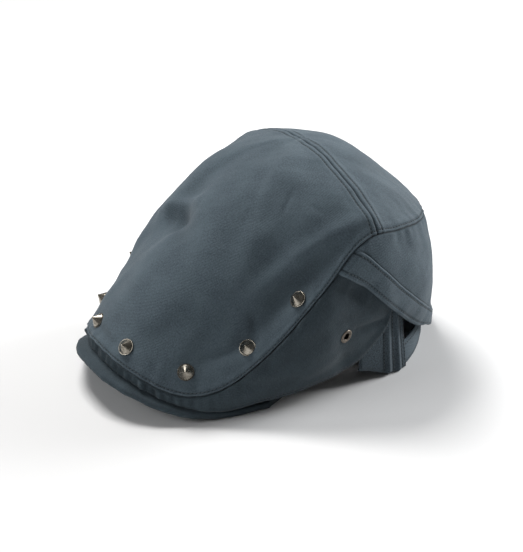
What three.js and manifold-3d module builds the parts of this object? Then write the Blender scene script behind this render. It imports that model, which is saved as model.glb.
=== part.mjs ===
// A soft flat cap of thin cotton twill with studs round its peak.
// Millimetres, +Z up, the peak at -Y, the wearer's left at +X, resting on the plane Z = 0.
import * as THREE from "three";
import * as BufferGeometryUtils from "three/addons/utils/BufferGeometryUtils.js";
import Module from "manifold-3d";

// Head opening and crown
const HEAD_WIDTH = 156;
const HEAD_LENGTH = 192;
const HEAD_CENTRE = 4;
const CROWN_WIDTH = 182;
const CROWN_FRONT = 141;
const CROWN_BACK = 87;
const CROWN_TOP = 11;
const CROWN_HEIGHT = 146;

// Cloth and seams
const CLOTH = 1.6;
const GAP = 0.3;

// Peak
const PEAK_THICKNESS = 4.6;
const LIP_REACH = 7.5;
const LIP_ARCH = 20;
const PEAK_RISE = 9;
const PEAK_END = 61;

// Strip and side panel below the long seam
const STRIP_SEAT = 0.5;
const SIDE_LIFT = 18;
const SIDE_REAR_END = 104;
const SIDE_ROUND = 18;
const SIDE_INSET = CLOTH + 2 * GAP;
const SIDE_TUCK = 4;
const SIDE_END_RISE = 0.6;

// Back hem band, inner band and strap
const HEM_WIDTH = 16;
const HEM_START = 88;
const BAND_HEIGHT = 40;
const BAND_FRONT = 92;
const BAND_REAR = 116;
const BAND_FRONT_RISE = 9;
const BAND_OUT = 2;
const STRAP_HEIGHT = 17;
const STRAP_LAP = 9;

// Studs and eyelets
const STUD_DIAMETER = 10.6;
const STUD_HEIGHT = 6.4;
const STUD_RIM = 0.9;
const STUD_SPACING = 43;
const STUD_INSET = 7;
const STUDS_A_SIDE = 4;
const METAL_SEAT = 0.45;
const EYELET_DIAMETER = 9.4;
const EYELET_HOLE = 4.6;
const EYELET_FLANGE = 0.7;
const EYELET_WALL = 0.5;
const EYELET_ANGLE = 84;
const EYELET_DROP = 0.62;

// Sections of the crown by the angle from the front. The seam is a share of CROWN_HEIGHT, the swell
// of the wall below it is a share of CROWN_WIDTH, and the rim's lift is a share of SIDE_LIFT.
// The lip is a share of LIP_REACH and the arch a share of LIP_ARCH.
const SECTIONS = [
  { angle: 0, seam: 0.225, dome: 1.62, swell: 0.0, lift: 0.0, lip: 1.0, arch: 1.0 },
  { angle: 20, seam: 0.19, dome: 1.7, swell: 0.0, lift: 0.0, lip: 1.0, arch: 0.8 },
  { angle: 40, seam: 0.12, dome: 1.95, swell: 0.003, lift: 0.0, lip: 0.6, arch: 0.25 },
  { angle: 52, seam: 0.16, dome: 2.25, swell: 0.012, lift: 0.03, lip: -0.3, arch: 0.0 },
  { angle: 65, seam: 0.32, dome: 2.4, swell: 0.03, lift: 0.2, lip: -0.7, arch: 0.0 },
  { angle: 78, seam: 0.54, dome: 2.4, swell: 0.036, lift: 0.42, lip: -1.0, arch: 0.0 },
  { angle: 90, seam: 0.74, dome: 2.4, swell: 0.034, lift: 0.62, lip: -1.0, arch: 0.0 },
  { angle: 110, seam: 0.745, dome: 2.2, swell: 0.034, lift: 0.9, lip: -1.0, arch: 0.0 },
  { angle: 127, seam: 0.715, dome: 2.1, swell: 0.028, lift: 0.95, lip: -1.0, arch: 0.0 },
  { angle: 145, seam: 0.685, dome: 2.0, swell: 0.022, lift: 0.2, lip: -1.0, arch: 0.0 },
  { angle: 180, seam: 0.665, dome: 1.95, swell: 0.018, lift: 0.0, lip: -1.0, arch: 0.0 },
];

// The hem's upper edge by the angle from the front, as a share of CROWN_HEIGHT.
const HEM_LINE = [
  { angle: 88, height: 0.7 },
  { angle: 97, height: 0.61 },
  { angle: 110, height: 0.45 },
  { angle: 125, height: 0.295 },
  { angle: 145, height: 0.16 },
  { angle: 180, height: 0.15 },
];

// Main folds. Angle and breadth in degrees, place and length as shares of the way from the crown's
// top (0) over the long seam (1) to the rim (2), depth as a share of CROWN_HEIGHT, out positive.
const FOLDS = [
  { angle: -30, place: 0.6, breadth: 14, length: 0.13, depth: -0.04 },
  { angle: -56, place: 0.62, breadth: 20, length: 0.22, depth: 0.03 },
  { angle: -52, place: 1.0, breadth: 25, length: 0.4, depth: 0.045 },
  { angle: 62, place: 0.78, breadth: 13, length: 0.13, depth: -0.045 },
  { angle: 76, place: 0.7, breadth: 11, length: 0.12, depth: 0.02 },
  { angle: 45, place: 0.85, breadth: 9, length: 0.08, depth: -0.016 },
];

const RADIANS = Math.PI / 180;
const CLOTH_COLOUR = 0x4c565e;
const METAL_COLOUR = 0x8d8878;

function clothMaterial(shade = 1) {
  const color = new THREE.Color(CLOTH_COLOUR).multiplyScalar(shade);
  return new THREE.MeshStandardMaterial({ color, roughness: 0.9, metalness: 0 });
}

function metalMaterial() {
  return new THREE.MeshStandardMaterial({ color: METAL_COLOUR, roughness: 0.35, metalness: 1 });
}

// One column of a table at an angle, with level ends and smooth steps between the rows.
function column(table, name, angle) {
  const bent = Math.min(Math.max(angle, table[0].angle), table.at(-1).angle);
  let row = 0;
  while (row < table.length - 2 && bent > table[row + 1].angle) row += 1;
  const slope = (index) => {
    const before = table[Math.max(index - 1, 0)];
    const after = table[Math.min(index + 1, table.length - 1)];
    return index === 0 || index === table.length - 1
      ? 0
      : (after[name] - before[name]) / (after.angle - before.angle);
  };
  const low = table[row];
  const high = table[row + 1];
  const width = high.angle - low.angle;
  const t = (bent - low.angle) / width;
  const rise = t * t * (3 - 2 * t);
  return low[name] * (1 - rise) + high[name] * rise
    + width * t * (1 - t) * ((1 - t) * slope(row) - t * slope(row + 1));
}

// Angle from the front, from 0 to 180 on either side.
function fromFront(angle) {
  const turned = Math.abs(angle) % 360;
  return turned > 180 ? 360 - turned : turned;
}

const section = (name, angle) => column(SECTIONS, name, fromFront(angle));

function smoothStep(from, to, value) {
  const t = Math.min(Math.max((value - from) / (to - from), 0), 1);
  return t * t * (3 - 2 * t);
}

// Halve an interval until the test changes over within it.
function changeOver(from, to, test) {
  let [low, high] = [from, to];
  for (let step = 0; step < 30; step += 1) {
    const middle = (low + high) / 2;
    if (test(middle)) low = middle;
    else high = middle;
  }
  return (low + high) / 2;
}

// Outline seen from above: a rounded form with its own reach to the front and to the back.
const PLAN_POWER = { front: 2.2, back: 2.2 };

function crownPlan(angle, out = 0) {
  const c = Math.cos(angle * RADIANS);
  const s = Math.sin(angle * RADIANS);
  const power = c > 0 ? PLAN_POWER.front : PLAN_POWER.back;
  const reach = c > 0 ? CROWN_FRONT : CROWN_BACK;
  const r = (Math.abs(s) ** power + Math.abs(c) ** power) ** (-1 / power);
  const point = new THREE.Vector2((CROWN_WIDTH / 2) * s * r, -reach * c * r);
  return point.addScaledVector(point.clone().normalize(), out);
}

function headPlan(angle, out = 0) {
  const s = Math.sin(angle * RADIANS);
  const c = Math.cos(angle * RADIANS);
  return new THREE.Vector2((HEAD_WIDTH / 2 + out) * s, HEAD_CENTRE - (HEAD_LENGTH / 2 + out) * c);
}

const seamHeight = (angle) => section("seam", angle) * CROWN_HEIGHT;
const lipHeight = (angle) => Math.max(section("arch", angle), 0) * LIP_ARCH;
const peakTop = (angle) => lipHeight(angle) + PEAK_THICKNESS;

// The rim of the wall follows the crown's outline over the peak and the head's outline behind it.
const WALL_TO_HEAD = CLOTH + GAP + SIDE_INSET + CLOTH;
const RIM_LEAVES_CROWN = 45;
const RIM_MEETS_HEAD = 85;
const SWELL_SKEW = 0.8;

function rimPlan(angle, out = 0) {
  const blend = smoothStep(RIM_LEAVES_CROWN, RIM_MEETS_HEAD, fromFront(angle));
  const plan = crownPlan(angle, 1).lerp(headPlan(angle, WALL_TO_HEAD), blend);
  return plan.addScaledVector(crownPlan(angle).normalize(), out);
}

function rimPoint(angle) {
  const plan = rimPlan(angle);
  const height = peakTop(angle) + STRIP_SEAT + section("lift", angle) * SIDE_LIFT;
  return new THREE.Vector3(plan.x, plan.y, height);
}

function foldDepth(angle, place) {
  return FOLDS.reduce((sum, fold) => {
    const away = fromFront(angle - fold.angle);
    const across = away / fold.breadth;
    const along = (place - fold.place) / fold.length;
    return sum + fold.depth * CROWN_HEIGHT * Math.exp(-across * across - along * along);
  }, 0);
}

// The cloth's outer face: place runs from the crown's top (0) over the long seam (1) to the rim (2).
function plainCloth(angle, place) {
  const plan = crownPlan(angle);
  const seam = seamHeight(angle);
  if (place <= 1) {
    const height = seam + (CROWN_HEIGHT - seam) * (1 - place ** section("dome", angle));
    return new THREE.Vector3(plan.x * place, CROWN_TOP + (plan.y - CROWN_TOP) * place, height);
  }
  const drop = place - 1;
  const rim = rimPoint(angle);
  const point = new THREE.Vector3(plan.x, plan.y, seam).lerp(rim, drop);
  const swell = section("swell", angle) * CROWN_WIDTH * Math.sin(Math.PI * drop ** SWELL_SKEW);
  const out = plan.clone().normalize();
  return point.add(new THREE.Vector3(out.x * swell, out.y * swell, 0));
}

function plainNormal(angle, place) {
  if (place < 0.02) return new THREE.Vector3(0, 0, 1);
  const step = 0.01;
  const along = plainCloth(angle, place + step).sub(plainCloth(angle, place - step));
  const round = plainCloth(angle + 1, place).sub(plainCloth(angle - 1, place));
  return round.cross(along).normalize().negate();
}

// Place on the wall where the cloth has a given height.
function placeAtHeight(angle, height) {
  return changeOver(1, 2, (place) => plainCloth(angle, place).z > height);
}

function cloth(angle, place, inset = 0) {
  const normal = plainNormal(angle, place);
  return {
    point: plainCloth(angle, place).addScaledVector(normal, foldDepth(angle, place) - inset),
    normal,
  };
}

// The seam over the crown's top runs straight from side to side.
const TOP_SEAM = changeOver(70, 120, (angle) => crownPlan(angle).y < CROWN_TOP);

// The hem band's upper edge starts on the long seam, and its lower edge lies one width below it.
const hemTop = (angle) => column(HEM_LINE, "height", fromFront(angle)) * CROWN_HEIGHT;

function hemBelow(angle, across) {
  const step = 2;
  const radius = CROWN_WIDTH / 2;
  const fall = (hemTop(angle - step) - hemTop(angle + step)) / (2 * step * RADIANS * radius);
  const tilt = Math.atan(fall);
  return {
    angle: angle - (across * HEM_WIDTH * Math.sin(tilt)) / (radius * RADIANS),
    height: hemTop(angle) - across * HEM_WIDTH * Math.cos(tilt),
  };
}

// Where the lower edge comes out from under the long seam.
const HEM_LOW_START = changeOver(HEM_START, 120, (angle) => {
  const cell = hemBelow(angle, 1);
  return cell.height > seamHeight(cell.angle) - GAP;
});
const HEM_FRONT = hemBelow(HEM_LOW_START, 1).angle;

// Columns that all panels share, so that edges on one seam have the same corners.
const STOPS = [
  { angle: 0, steps: 24 },
  { angle: HEM_FRONT, steps: 2 },
  { angle: HEM_START, steps: 3 },
  { angle: TOP_SEAM, steps: 3 },
  { angle: SIDE_REAR_END, steps: 15 },
  { angle: 180, steps: 0 },
];

function spread(from, to, count) {
  return Array.from({ length: count + 1 }, (_, step) => from + ((to - from) * step) / count);
}

const HALF_COLUMNS = STOPS.slice(0, -1).flatMap((stop, number) => (
  spread(stop.angle, STOPS[number + 1].angle, stop.steps).slice(0, -1)
));
const ALL_COLUMNS = [
  ...HALF_COLUMNS.map((angle) => -angle).reverse().slice(0, -1),
  ...HALF_COLUMNS,
  180,
  ...HALF_COLUMNS.map((angle) => 360 - angle).reverse().slice(0, -1),
];

function columnsBetween(from, to) {
  const margin = 0.2;
  return [from, ...ALL_COLUMNS.filter((angle) => angle > from + margin && angle < to - margin), to];
}

// A closed solid through rings of points. Each ring runs out along one face and back along the other.
function loft(rings) {
  const size = rings[0].length;
  const positions = rings.flat().flatMap((point) => [point.x, point.y, point.z]);
  const index = [];
  const quad = (a, b, c, d) => index.push(a, b, c, a, c, d);
  for (let ring = 0; ring < rings.length - 1; ring += 1) {
    for (let side = 0; side < size; side += 1) {
      const next = (side + 1) % size;
      quad(ring * size + side, ring * size + next, (ring + 1) * size + next, (ring + 1) * size + side);
    }
  }
  const last = (rings.length - 1) * size;
  for (let side = 0; side < size / 2 - 1; side += 1) {
    const mate = size - 1 - side;
    quad(side, mate, mate - 1, side + 1);
    quad(last + side, last + side + 1, last + mate - 1, last + mate);
  }
  const geometry = new THREE.BufferGeometry();
  geometry.setAttribute("position", new THREE.Float32BufferAttribute(positions, 3));
  geometry.setIndex(index);
  return closed(geometry);
}

// Merge doubled vertices, drop empty triangles and turn the faces outwards.
function closed(source) {
  const bare = source.clone();
  bare.deleteAttribute("normal");
  bare.deleteAttribute("uv");
  const merged = BufferGeometryUtils.mergeVertices(bare, 1e-3);
  const place = merged.getAttribute("position");
  const corners = merged.getIndex().array;
  const kept = [];
  let volume = 0;
  const [a, b, c] = [new THREE.Vector3(), new THREE.Vector3(), new THREE.Vector3()];
  for (let face = 0; face < corners.length; face += 3) {
    const [i, j, k] = corners.slice(face, face + 3);
    if (i === j || j === k || k === i) continue;
    kept.push(i, j, k);
    a.fromBufferAttribute(place, i);
    b.fromBufferAttribute(place, j);
    c.fromBufferAttribute(place, k);
    volume += a.dot(b.cross(c));
  }
  if (volume < 0) {
    for (let face = 0; face < kept.length; face += 3) {
      [kept[face + 1], kept[face + 2]] = [kept[face + 2], kept[face + 1]];
    }
  }
  merged.setIndex(kept);
  merged.computeVertexNormals();
  return merged;
}

// A sheet of cloth from a grid of points and normals, each edge held back by half the seam gap.
function clothSheet(grid, { pole = false, thickness = CLOTH } = {}) {
  const columns = grid.length;
  const rows = grid[0].length;
  const moved = grid.map((line) => line.map((cell) => cell.point.clone()));
  const pull = (target, from, to) => {
    target.addScaledVector(to.clone().sub(from).normalize(), GAP / 2);
  };
  for (let row = pole ? 1 : 0; row < rows; row += 1) {
    pull(moved[0][row], grid[0][row].point, grid[1][row].point);
    pull(moved[columns - 1][row], grid[columns - 1][row].point, grid[columns - 2][row].point);
  }
  for (let line = 0; line < columns; line += 1) {
    if (!pole) pull(moved[line][0], grid[line][0].point, grid[line][1].point);
    pull(moved[line][rows - 1], grid[line][rows - 1].point, grid[line][rows - 2].point);
  }
  if (pole) {
    const middle = Math.floor(columns / 2);
    pull(moved[middle][0], grid[middle][0].point, grid[middle][1].point);
    moved.forEach((line) => line[0].copy(moved[middle][0]));
  }
  return loft(moved.map((line, number) => {
    const inside = line.map((point, row) => (
      point.clone().addScaledVector(grid[number][row].normal, -thickness)
    ));
    return [...line, ...inside.reverse()];
  }));
}

// Place a turned piece on the cloth, its own Y axis along the cloth's normal.
function seat(mesh, cell, lift) {
  mesh.position.copy(cell.point).addScaledVector(cell.normal, lift);
  mesh.quaternion.setFromUnitVectors(new THREE.Vector3(0, 1, 0), cell.normal);
  return mesh;
}

function metalMesh(name, profile, sides) {
  const points = profile.map(([radius, height]) => new THREE.Vector2(radius, height));
  const mesh = new THREE.Mesh(closed(new THREE.LatheGeometry(points, sides)), metalMaterial());
  mesh.name = name;
  return mesh;
}

function clothMesh(name, geometry, shade) {
  const mesh = new THREE.Mesh(geometry, clothMaterial(shade));
  mesh.name = name;
  return mesh;
}

const TOP_ROWS = 10;

function topPanel(name, from, to) {
  const places = spread(0, 1, TOP_ROWS);
  const grid = columnsBetween(from, to).map((angle) => places.map((place) => cloth(angle, place)));
  return clothMesh(name, clothSheet(grid, { pole: true }), 1);
}

function hemBand() {
  const grid = columnsBetween(HEM_START, 360 - HEM_START).map((angle) => [0, 0.5, 1].map((across) => {
    const own = fromFront(angle);
    const shear = (across * (HEM_LOW_START - HEM_START) * (180 - own)) / (180 - HEM_START);
    const cell = hemBelow(own + shear, across);
    const turned = angle > 180 ? 360 - cell.angle : cell.angle;
    return cloth(turned, placeAtHeight(turned, cell.height));
  }));
  return clothMesh("back_hem_band", clothSheet(grid), 0.97);
}

const BACK_ROWS = 6;

function backPanel() {
  const grid = columnsBetween(HEM_START, 360 - HEM_START).map((angle) => {
    const bottom = placeAtHeight(angle, hemTop(angle));
    return spread(1, bottom, BACK_ROWS).map((place) => cloth(angle, place));
  });
  return clothMesh("back_panel", clothSheet(grid), 1);
}

// Side panel: a narrow gathered strip round the peak that widens to each side, one piece.
const SIDE_ROWS = 6;
const UNDER_RAMP = 9;

function sideCell(angle, share) {
  const own = Math.abs(angle);
  const under = smoothStep(HEM_FRONT - UNDER_RAMP, HEM_FRONT - 1, own);
  const top = own <= HEM_START ? 1 : placeAtHeight(own, hemTop(own) - SIDE_TUCK);
  const turn = Math.min(Math.max((own - SIDE_REAR_END + SIDE_ROUND) / SIDE_ROUND, 0), 1);
  const rise = (1 - Math.sqrt(1 - turn * turn)) * SIDE_END_RISE;
  const bottom = 2 - (2 - top) * rise;
  return cloth(angle, top + (bottom - top) * share, SIDE_INSET * under);
}

function sidePanel() {
  const end = SIDE_REAR_END;
  const grid = columnsBetween(-end, end).map((angle) => (
    spread(0, 1, SIDE_ROWS).map((share) => sideCell(angle, share))
  ));
  return clothMesh("side_panel", clothSheet(grid), 0.96);
}

// Upright bands stand on the head's outline.
const BAND_COLUMNS = 8;
const STRAP_COLUMNS = 24;

function uprightBand(name, from, to, height, out, columns, low) {
  const grid = spread(from, to, columns).map((angle) => {
    const plan = headPlan(angle, out);
    const next = headPlan(angle + 1, out);
    const normal = new THREE.Vector3(next.y - plan.y, plan.x - next.x, 0).normalize();
    return [low(angle), height].map((z) => ({ point: new THREE.Vector3(plan.x, plan.y, z), normal }));
  });
  return clothMesh(name, clothSheet(grid), 0.92);
}

// The front end of an inner band curls up from the resting plane.
function innerBand(name, from, to) {
  const low = (angle) => BAND_FRONT_RISE * smoothStep(BAND_REAR, BAND_FRONT, fromFront(angle)) ** 2;
  return uprightBand(name, from, to, BAND_HEIGHT, BAND_OUT, BAND_COLUMNS, low);
}

function backStrap() {
  const end = BAND_REAR - STRAP_LAP;
  return uprightBand("back_strap", end, 360 - end, STRAP_HEIGHT, -GAP, STRAP_COLUMNS, () => 0);
}

// Peak: a stiff crescent in cloth, swept round the front with a rounded lip.
const INNER_EDGE_TURN = 1.06;

function peakRing(angle) {
  const lipOut = section("lip", angle) * LIP_REACH;
  const seatOut = Math.min(lipOut - PEAK_THICKNESS, -2 * CLOTH);
  const seat = rimPlan(angle, seatOut);
  const inner = headPlan(angle * INNER_EDGE_TURN, CLOTH);
  const low = lipHeight(angle);
  const radius = PEAK_THICKNESS / 2;
  const at = (plan, up) => new THREE.Vector3(plan.x, plan.y, low + up);
  const upper = [];
  const lower = [];
  for (const turn of [0, 30, 60, 90]) {
    const plan = rimPlan(angle, lipOut - radius * (1 - Math.cos(turn * RADIANS)));
    const rise = radius * Math.sin(turn * RADIANS);
    upper.push(at(plan, radius + rise));
    lower.push(at(plan, radius - rise));
  }
  for (const share of [0, 0.33, 0.67, 1]) {
    const plan = seat.clone().lerp(inner, share);
    const rise = PEAK_RISE * smoothStep(0, 1.2, share);
    upper.push(at(plan, PEAK_THICKNESS + rise));
    lower.push(at(plan, rise));
  }
  return [...upper, ...lower.reverse()];
}

function peak() {
  const rings = columnsBetween(-PEAK_END, PEAK_END).map(peakRing);
  return clothMesh("peak", loft(rings), 0.95);
}

// Studs stand in a row on the top panel, at even steps along a line beside the long seam.
const STUD_SIDES = 16;

function studCell(angle) {
  const place = 1 - STUD_INSET / crownPlan(angle).length();
  const here = cloth(angle, place).point;
  const round = cloth(angle + 2, place).point.sub(cloth(angle - 2, place).point);
  const along = cloth(angle, place - 0.03).point.sub(cloth(angle, place + 0.03).point);
  return { point: here, normal: round.cross(along).normalize() };
}

function studAngle(distance) {
  let angle = 0;
  let walked = 0;
  let last = studCell(0).point;
  while (walked < distance && angle < 90) {
    angle += 0.25;
    const next = studCell(angle).point;
    walked += next.distanceTo(last);
    last = next;
  }
  return angle;
}

function stud(name, angle) {
  const radius = STUD_DIAMETER / 2;
  const profile = [
    [0, 0],
    [radius, 0],
    [radius, STUD_RIM],
    [radius * 0.82, STUD_RIM * 1.3],
    [radius * 0.12, STUD_HEIGHT],
    [0, STUD_HEIGHT * 1.02],
  ];
  return seat(metalMesh(name, profile, STUD_SIDES), studCell(angle), METAL_SEAT);
}

// Eyelets line a round hole in each side of the side panel.
const EYELET_SIDES = 16;
const EYELET_BARREL = EYELET_HOLE / 2 + EYELET_WALL;

function eyeletCell(side) {
  const at = (turn, drop) => sideCell(side * EYELET_ANGLE + turn, EYELET_DROP + drop).point;
  const round = at(2, 0).sub(at(-2, 0));
  const along = at(0, -0.05).sub(at(0, 0.05));
  return { point: at(0, 0), normal: round.cross(along).normalize() };
}

function eyelet(name, side) {
  const inner = EYELET_HOLE / 2;
  const foot = -METAL_SEAT - CLOTH - GAP;
  const profile = [
    [inner, foot],
    [EYELET_BARREL, foot],
    [EYELET_BARREL, 0],
    [EYELET_DIAMETER / 2, 0],
    [EYELET_DIAMETER / 2, EYELET_FLANGE * 0.4],
    [EYELET_DIAMETER / 2 - EYELET_WALL, EYELET_FLANGE],
    [EYELET_BARREL, EYELET_FLANGE],
    [inner, EYELET_FLANGE * 0.3],
    [inner, foot],
  ];
  return seat(metalMesh(name, profile, EYELET_SIDES), eyeletCell(side), METAL_SEAT);
}

// Cut the round holes for the eyelets.
const wasm = await Module();
wasm.setup();

function asSolid(mesh) {
  mesh.updateMatrixWorld(true);
  const bare = mesh.geometry.clone().applyMatrix4(mesh.matrixWorld);
  bare.deleteAttribute("normal");
  bare.deleteAttribute("uv");
  const merged = BufferGeometryUtils.mergeVertices(bare, 1e-3);
  return new wasm.Manifold(new wasm.Mesh({
    numProp: 3,
    vertProperties: new Float32Array(merged.getAttribute("position").array),
    triVerts: new Uint32Array(merged.getIndex().array),
  }));
}

function fromSolid(solid) {
  const mesh = solid.getMesh();
  const geometry = new THREE.BufferGeometry();
  geometry.setAttribute("position", new THREE.Float32BufferAttribute(mesh.vertProperties, 3));
  geometry.setIndex(Array.from(mesh.triVerts));
  return closed(geometry);
}

function withEyeletHoles(panel) {
  let solid = asSolid(panel);
  for (const side of [-1, 1]) {
    const drill = new THREE.Mesh(new THREE.CylinderGeometry(
      EYELET_BARREL + GAP,
      EYELET_BARREL + GAP,
      CLOTH * 5,
      EYELET_SIDES,
    ));
    solid = solid.subtract(asSolid(seat(drill, eyeletCell(side), 0)));
  }
  panel.geometry = fromSolid(solid);
  return panel;
}

const group = new THREE.Group();
group.add(topPanel("top_front_panel", -TOP_SEAM, TOP_SEAM));
group.add(topPanel("top_rear_panel", TOP_SEAM, 360 - TOP_SEAM));
group.add(backPanel());
group.add(hemBand());
group.add(withEyeletHoles(sidePanel()));
group.add(innerBand("inner_band_left", BAND_FRONT, BAND_REAR));
group.add(innerBand("inner_band_right", -BAND_REAR, -BAND_FRONT));
group.add(backStrap());
group.add(peak());
for (let number = 0; number < STUDS_A_SIDE; number += 1) {
  const angle = studAngle((number + 0.5) * STUD_SPACING);
  group.add(stud(`stud_left_${number + 1}`, angle));
  group.add(stud(`stud_right_${number + 1}`, -angle));
}
group.add(eyelet("eyelet_left", 1));
group.add(eyelet("eyelet_right", -1));

// The origin stands under the middle of the whole cap.
const outer = new THREE.Box3().setFromObject(group);
const middle = outer.getCenter(new THREE.Vector3());
for (const mesh of group.children) {
  mesh.position.x -= middle.x;
  mesh.position.y -= middle.y;
  mesh.position.z -= outer.min.z;
}

export default group;
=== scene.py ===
import math

import bmesh
import bpy
import numpy as np
from bpy.props import FloatProperty, PointerProperty, StringProperty
from mathutils import Matrix, Vector


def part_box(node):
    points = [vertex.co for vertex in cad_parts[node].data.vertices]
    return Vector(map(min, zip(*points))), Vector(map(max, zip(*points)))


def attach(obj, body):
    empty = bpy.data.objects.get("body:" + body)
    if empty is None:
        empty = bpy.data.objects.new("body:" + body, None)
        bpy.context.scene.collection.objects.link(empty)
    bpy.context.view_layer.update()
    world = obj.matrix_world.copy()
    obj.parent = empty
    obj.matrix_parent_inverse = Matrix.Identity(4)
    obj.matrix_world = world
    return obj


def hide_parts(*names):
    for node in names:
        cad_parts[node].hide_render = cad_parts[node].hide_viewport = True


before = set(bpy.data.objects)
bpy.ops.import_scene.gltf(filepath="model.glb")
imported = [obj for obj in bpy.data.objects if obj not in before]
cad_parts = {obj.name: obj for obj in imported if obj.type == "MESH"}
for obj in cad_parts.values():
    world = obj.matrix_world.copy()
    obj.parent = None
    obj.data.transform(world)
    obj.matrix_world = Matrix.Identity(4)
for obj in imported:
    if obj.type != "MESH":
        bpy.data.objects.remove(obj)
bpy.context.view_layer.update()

bl_info = {
    "name": "Studded flat cap",
    "version": (1, 0, 0),
    "blender": (4, 5, 0),
    "location": "View3D > Sidebar > Cap",
    "description": "Sewn cloth, stitches, studs and eyelets of a soft flat cap",
    "category": "Object",
}

MM = 0.001

# The frame's sizes, in millimetres.
HEAD_WIDTH = 156.0
HEAD_LENGTH = 192.0
HEAD_CENTRE = 4.0
CROWN_WIDTH = 182.0
CROWN_FRONT = 141.0
CROWN_BACK = 87.0
CROWN_TOP = 11.0
CROWN_HEIGHT = 146.0
CLOTH = 1.6
GAP = 0.3
PEAK_THICKNESS = 4.6
PEAK_RISE = 9.0
LIP_REACH = 7.5
LIP_ARCH = 20.0
STRIP_SEAT = 0.5
SIDE_LIFT = 18.0
SIDE_INSET = CLOTH + 2 * GAP
SIDE_TUCK = 4.0
WALL_TO_HEAD = 2 * CLOTH + GAP + SIDE_INSET
HEM_WIDTH = 16.0
BAND_HEIGHT = 40.0
BAND_FRONT_RISE = 9.0
BAND_OUT = 2.0
STRAP_HEIGHT = 17.0
STUD_INSET = 7.0

# The frame's places round the cap, in degrees from the front.
PEAK_END = 61.0
RIM_LEAVES_CROWN = 45.0
RIM_MEETS_HEAD = 85.0
SIDE_REAR_END = 104.0
SIDE_ROUND = 18.0
HEM_START = 88.0
BAND_FRONT = 92.0
BAND_REAR = 116.0
STRAP_LAP = 9.0
EYELET_ANGLE = 84.0

# The frame's powers, shares and count.
PLAN_POWER = 2.2
SWELL_SKEW = 0.8
INNER_EDGE_TURN = 1.06
SIDE_END_RISE = 0.6
EYELET_DROP = 0.62
STUDS_A_SIDE = 4

# Where the side panel's gathered strip widens, where it has gone and where the stitches start, in degrees.
STRIP_WIDENS = 38.0
STRIP_GONE = 66.0
SIDE_STITCH_START = 58.0

# How far the inner bands run on up behind the hem, and how high the tapes' lower edges lie, in millimetres.
BAND_TUCK = 7.0
BAND_CLEAR = 0.3
STRAP_CLEAR = 0.25

# How far the back panel's lower edge runs down behind the hem, and how deep its cloth lies, in millimetres.
BACK_TUCK = 4.0
BACK_INSET = 0.2

# The hem's ends run on under the long seam, straight from a little inside it, in degrees. The stitches
# begin a little inside it too.
HEM_SEWN_IN = 6.0
HEM_STRAIGHT = 2.5
HEM_STITCH_START = 1.5

# The hem's lower edge stays this far above the rim, with a soft turn, in millimetres.
HEM_ABOVE_RIM = 0.4
HEM_RIM_TURN = 1.5

# Distances of the rows of stitches from the edges that they follow, in millimetres.
SEAM_STITCH = 2.2
CROSS_STITCH = 4.0
HEM_TOP_STITCH = 2.4
HEM_LOW_STITCH = 3.0
SIDE_STITCH = 4.0
STRAP_STITCH = 2.6

# Degrees round the head of the inner bands' ridges and rows of stitches.
BAND_RIDGES = (105.6, 110.8)
BAND_STITCHES = (103.4, 108.2, 113.2, 114.9)

# How much painted shade a crease lays into the colour for each millimetre of its depth; a ridge is painted
# paler by as much, as painted light.
FOLD_SHADE = 0.09

# Thicknesses of the hem and of the tapes as drawn, in millimetres.
HEM_DRAWN = 1.7
TAPE_DRAWN = 1.3

# A cone stud's turned profile, in millimetres: base, lip, groove and shoulder, then the rise of each
# step of the cone's tip with the share of its width that is left.
STUD_BASE = 0.9
STUD_LIP = 0.45
STUD_GROOVE_DEPTH = 0.12
STUD_GROOVE_WIDTH = 0.16
STUD_SHOULDER = 0.52
STUD_EDGE = 0.16
STUD_CONE_TAPER = 0.2
STUD_TIP = ((0.5, 0.62), (0.3, 0.5))
STUD_LIFT = 0.15

# An eyelet's flattened roll, as a share of its width, and the barrel under it, in millimetres.
EYELET_FLATNESS = 0.42
EYELET_LIFT = 0.35
BARREL_WALL = 0.4
BARREL_CLEARANCE = 0.45
BARREL_DEPTH = 2.6
BARREL_SEAT = -1.2
HOLE_CLEARANCE = 0.7
HOLE_DEPTH = 14.0

# The twill's pattern, in millimetres, and the slant of its rib, in degrees.
TWILL_SLANT = 63.0
YARN_SIZE = 1.1
DYE_PATCH = 24.0
SLUB_WIDTH = 0.8
SLUB_LENGTH = 4.5
TWILL_RELIEF = 0.26

# A wave pattern turns through this many radians for each unit of length at a scale of 1.
WAVE_RADIANS = 20.0

# The camera: its place in degrees and metres from the cap's middle, and its picture in pixels, with the
# sensor in millimetres.
CAMERA_TURN = 59.0
CAMERA_RISE = 25.0
CAMERA_DISTANCE = 0.9
CAMERA_HEIGHT = 0.06
PICTURE_PIXELS = 552
FOCAL_PIXELS = 1323
SHIFT_ACROSS_PIXELS = -25.5
SHIFT_UP_PIXELS = -16
SENSOR = 36.0

# The strap's rear edge shows how far the frame's origin lies from the crown's own.
SHIFT = Vector((0.0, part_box("back_strap")[1].y / MM - (HEAD_CENTRE + HEAD_LENGTH / 2 - GAP), 0.0))

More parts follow.
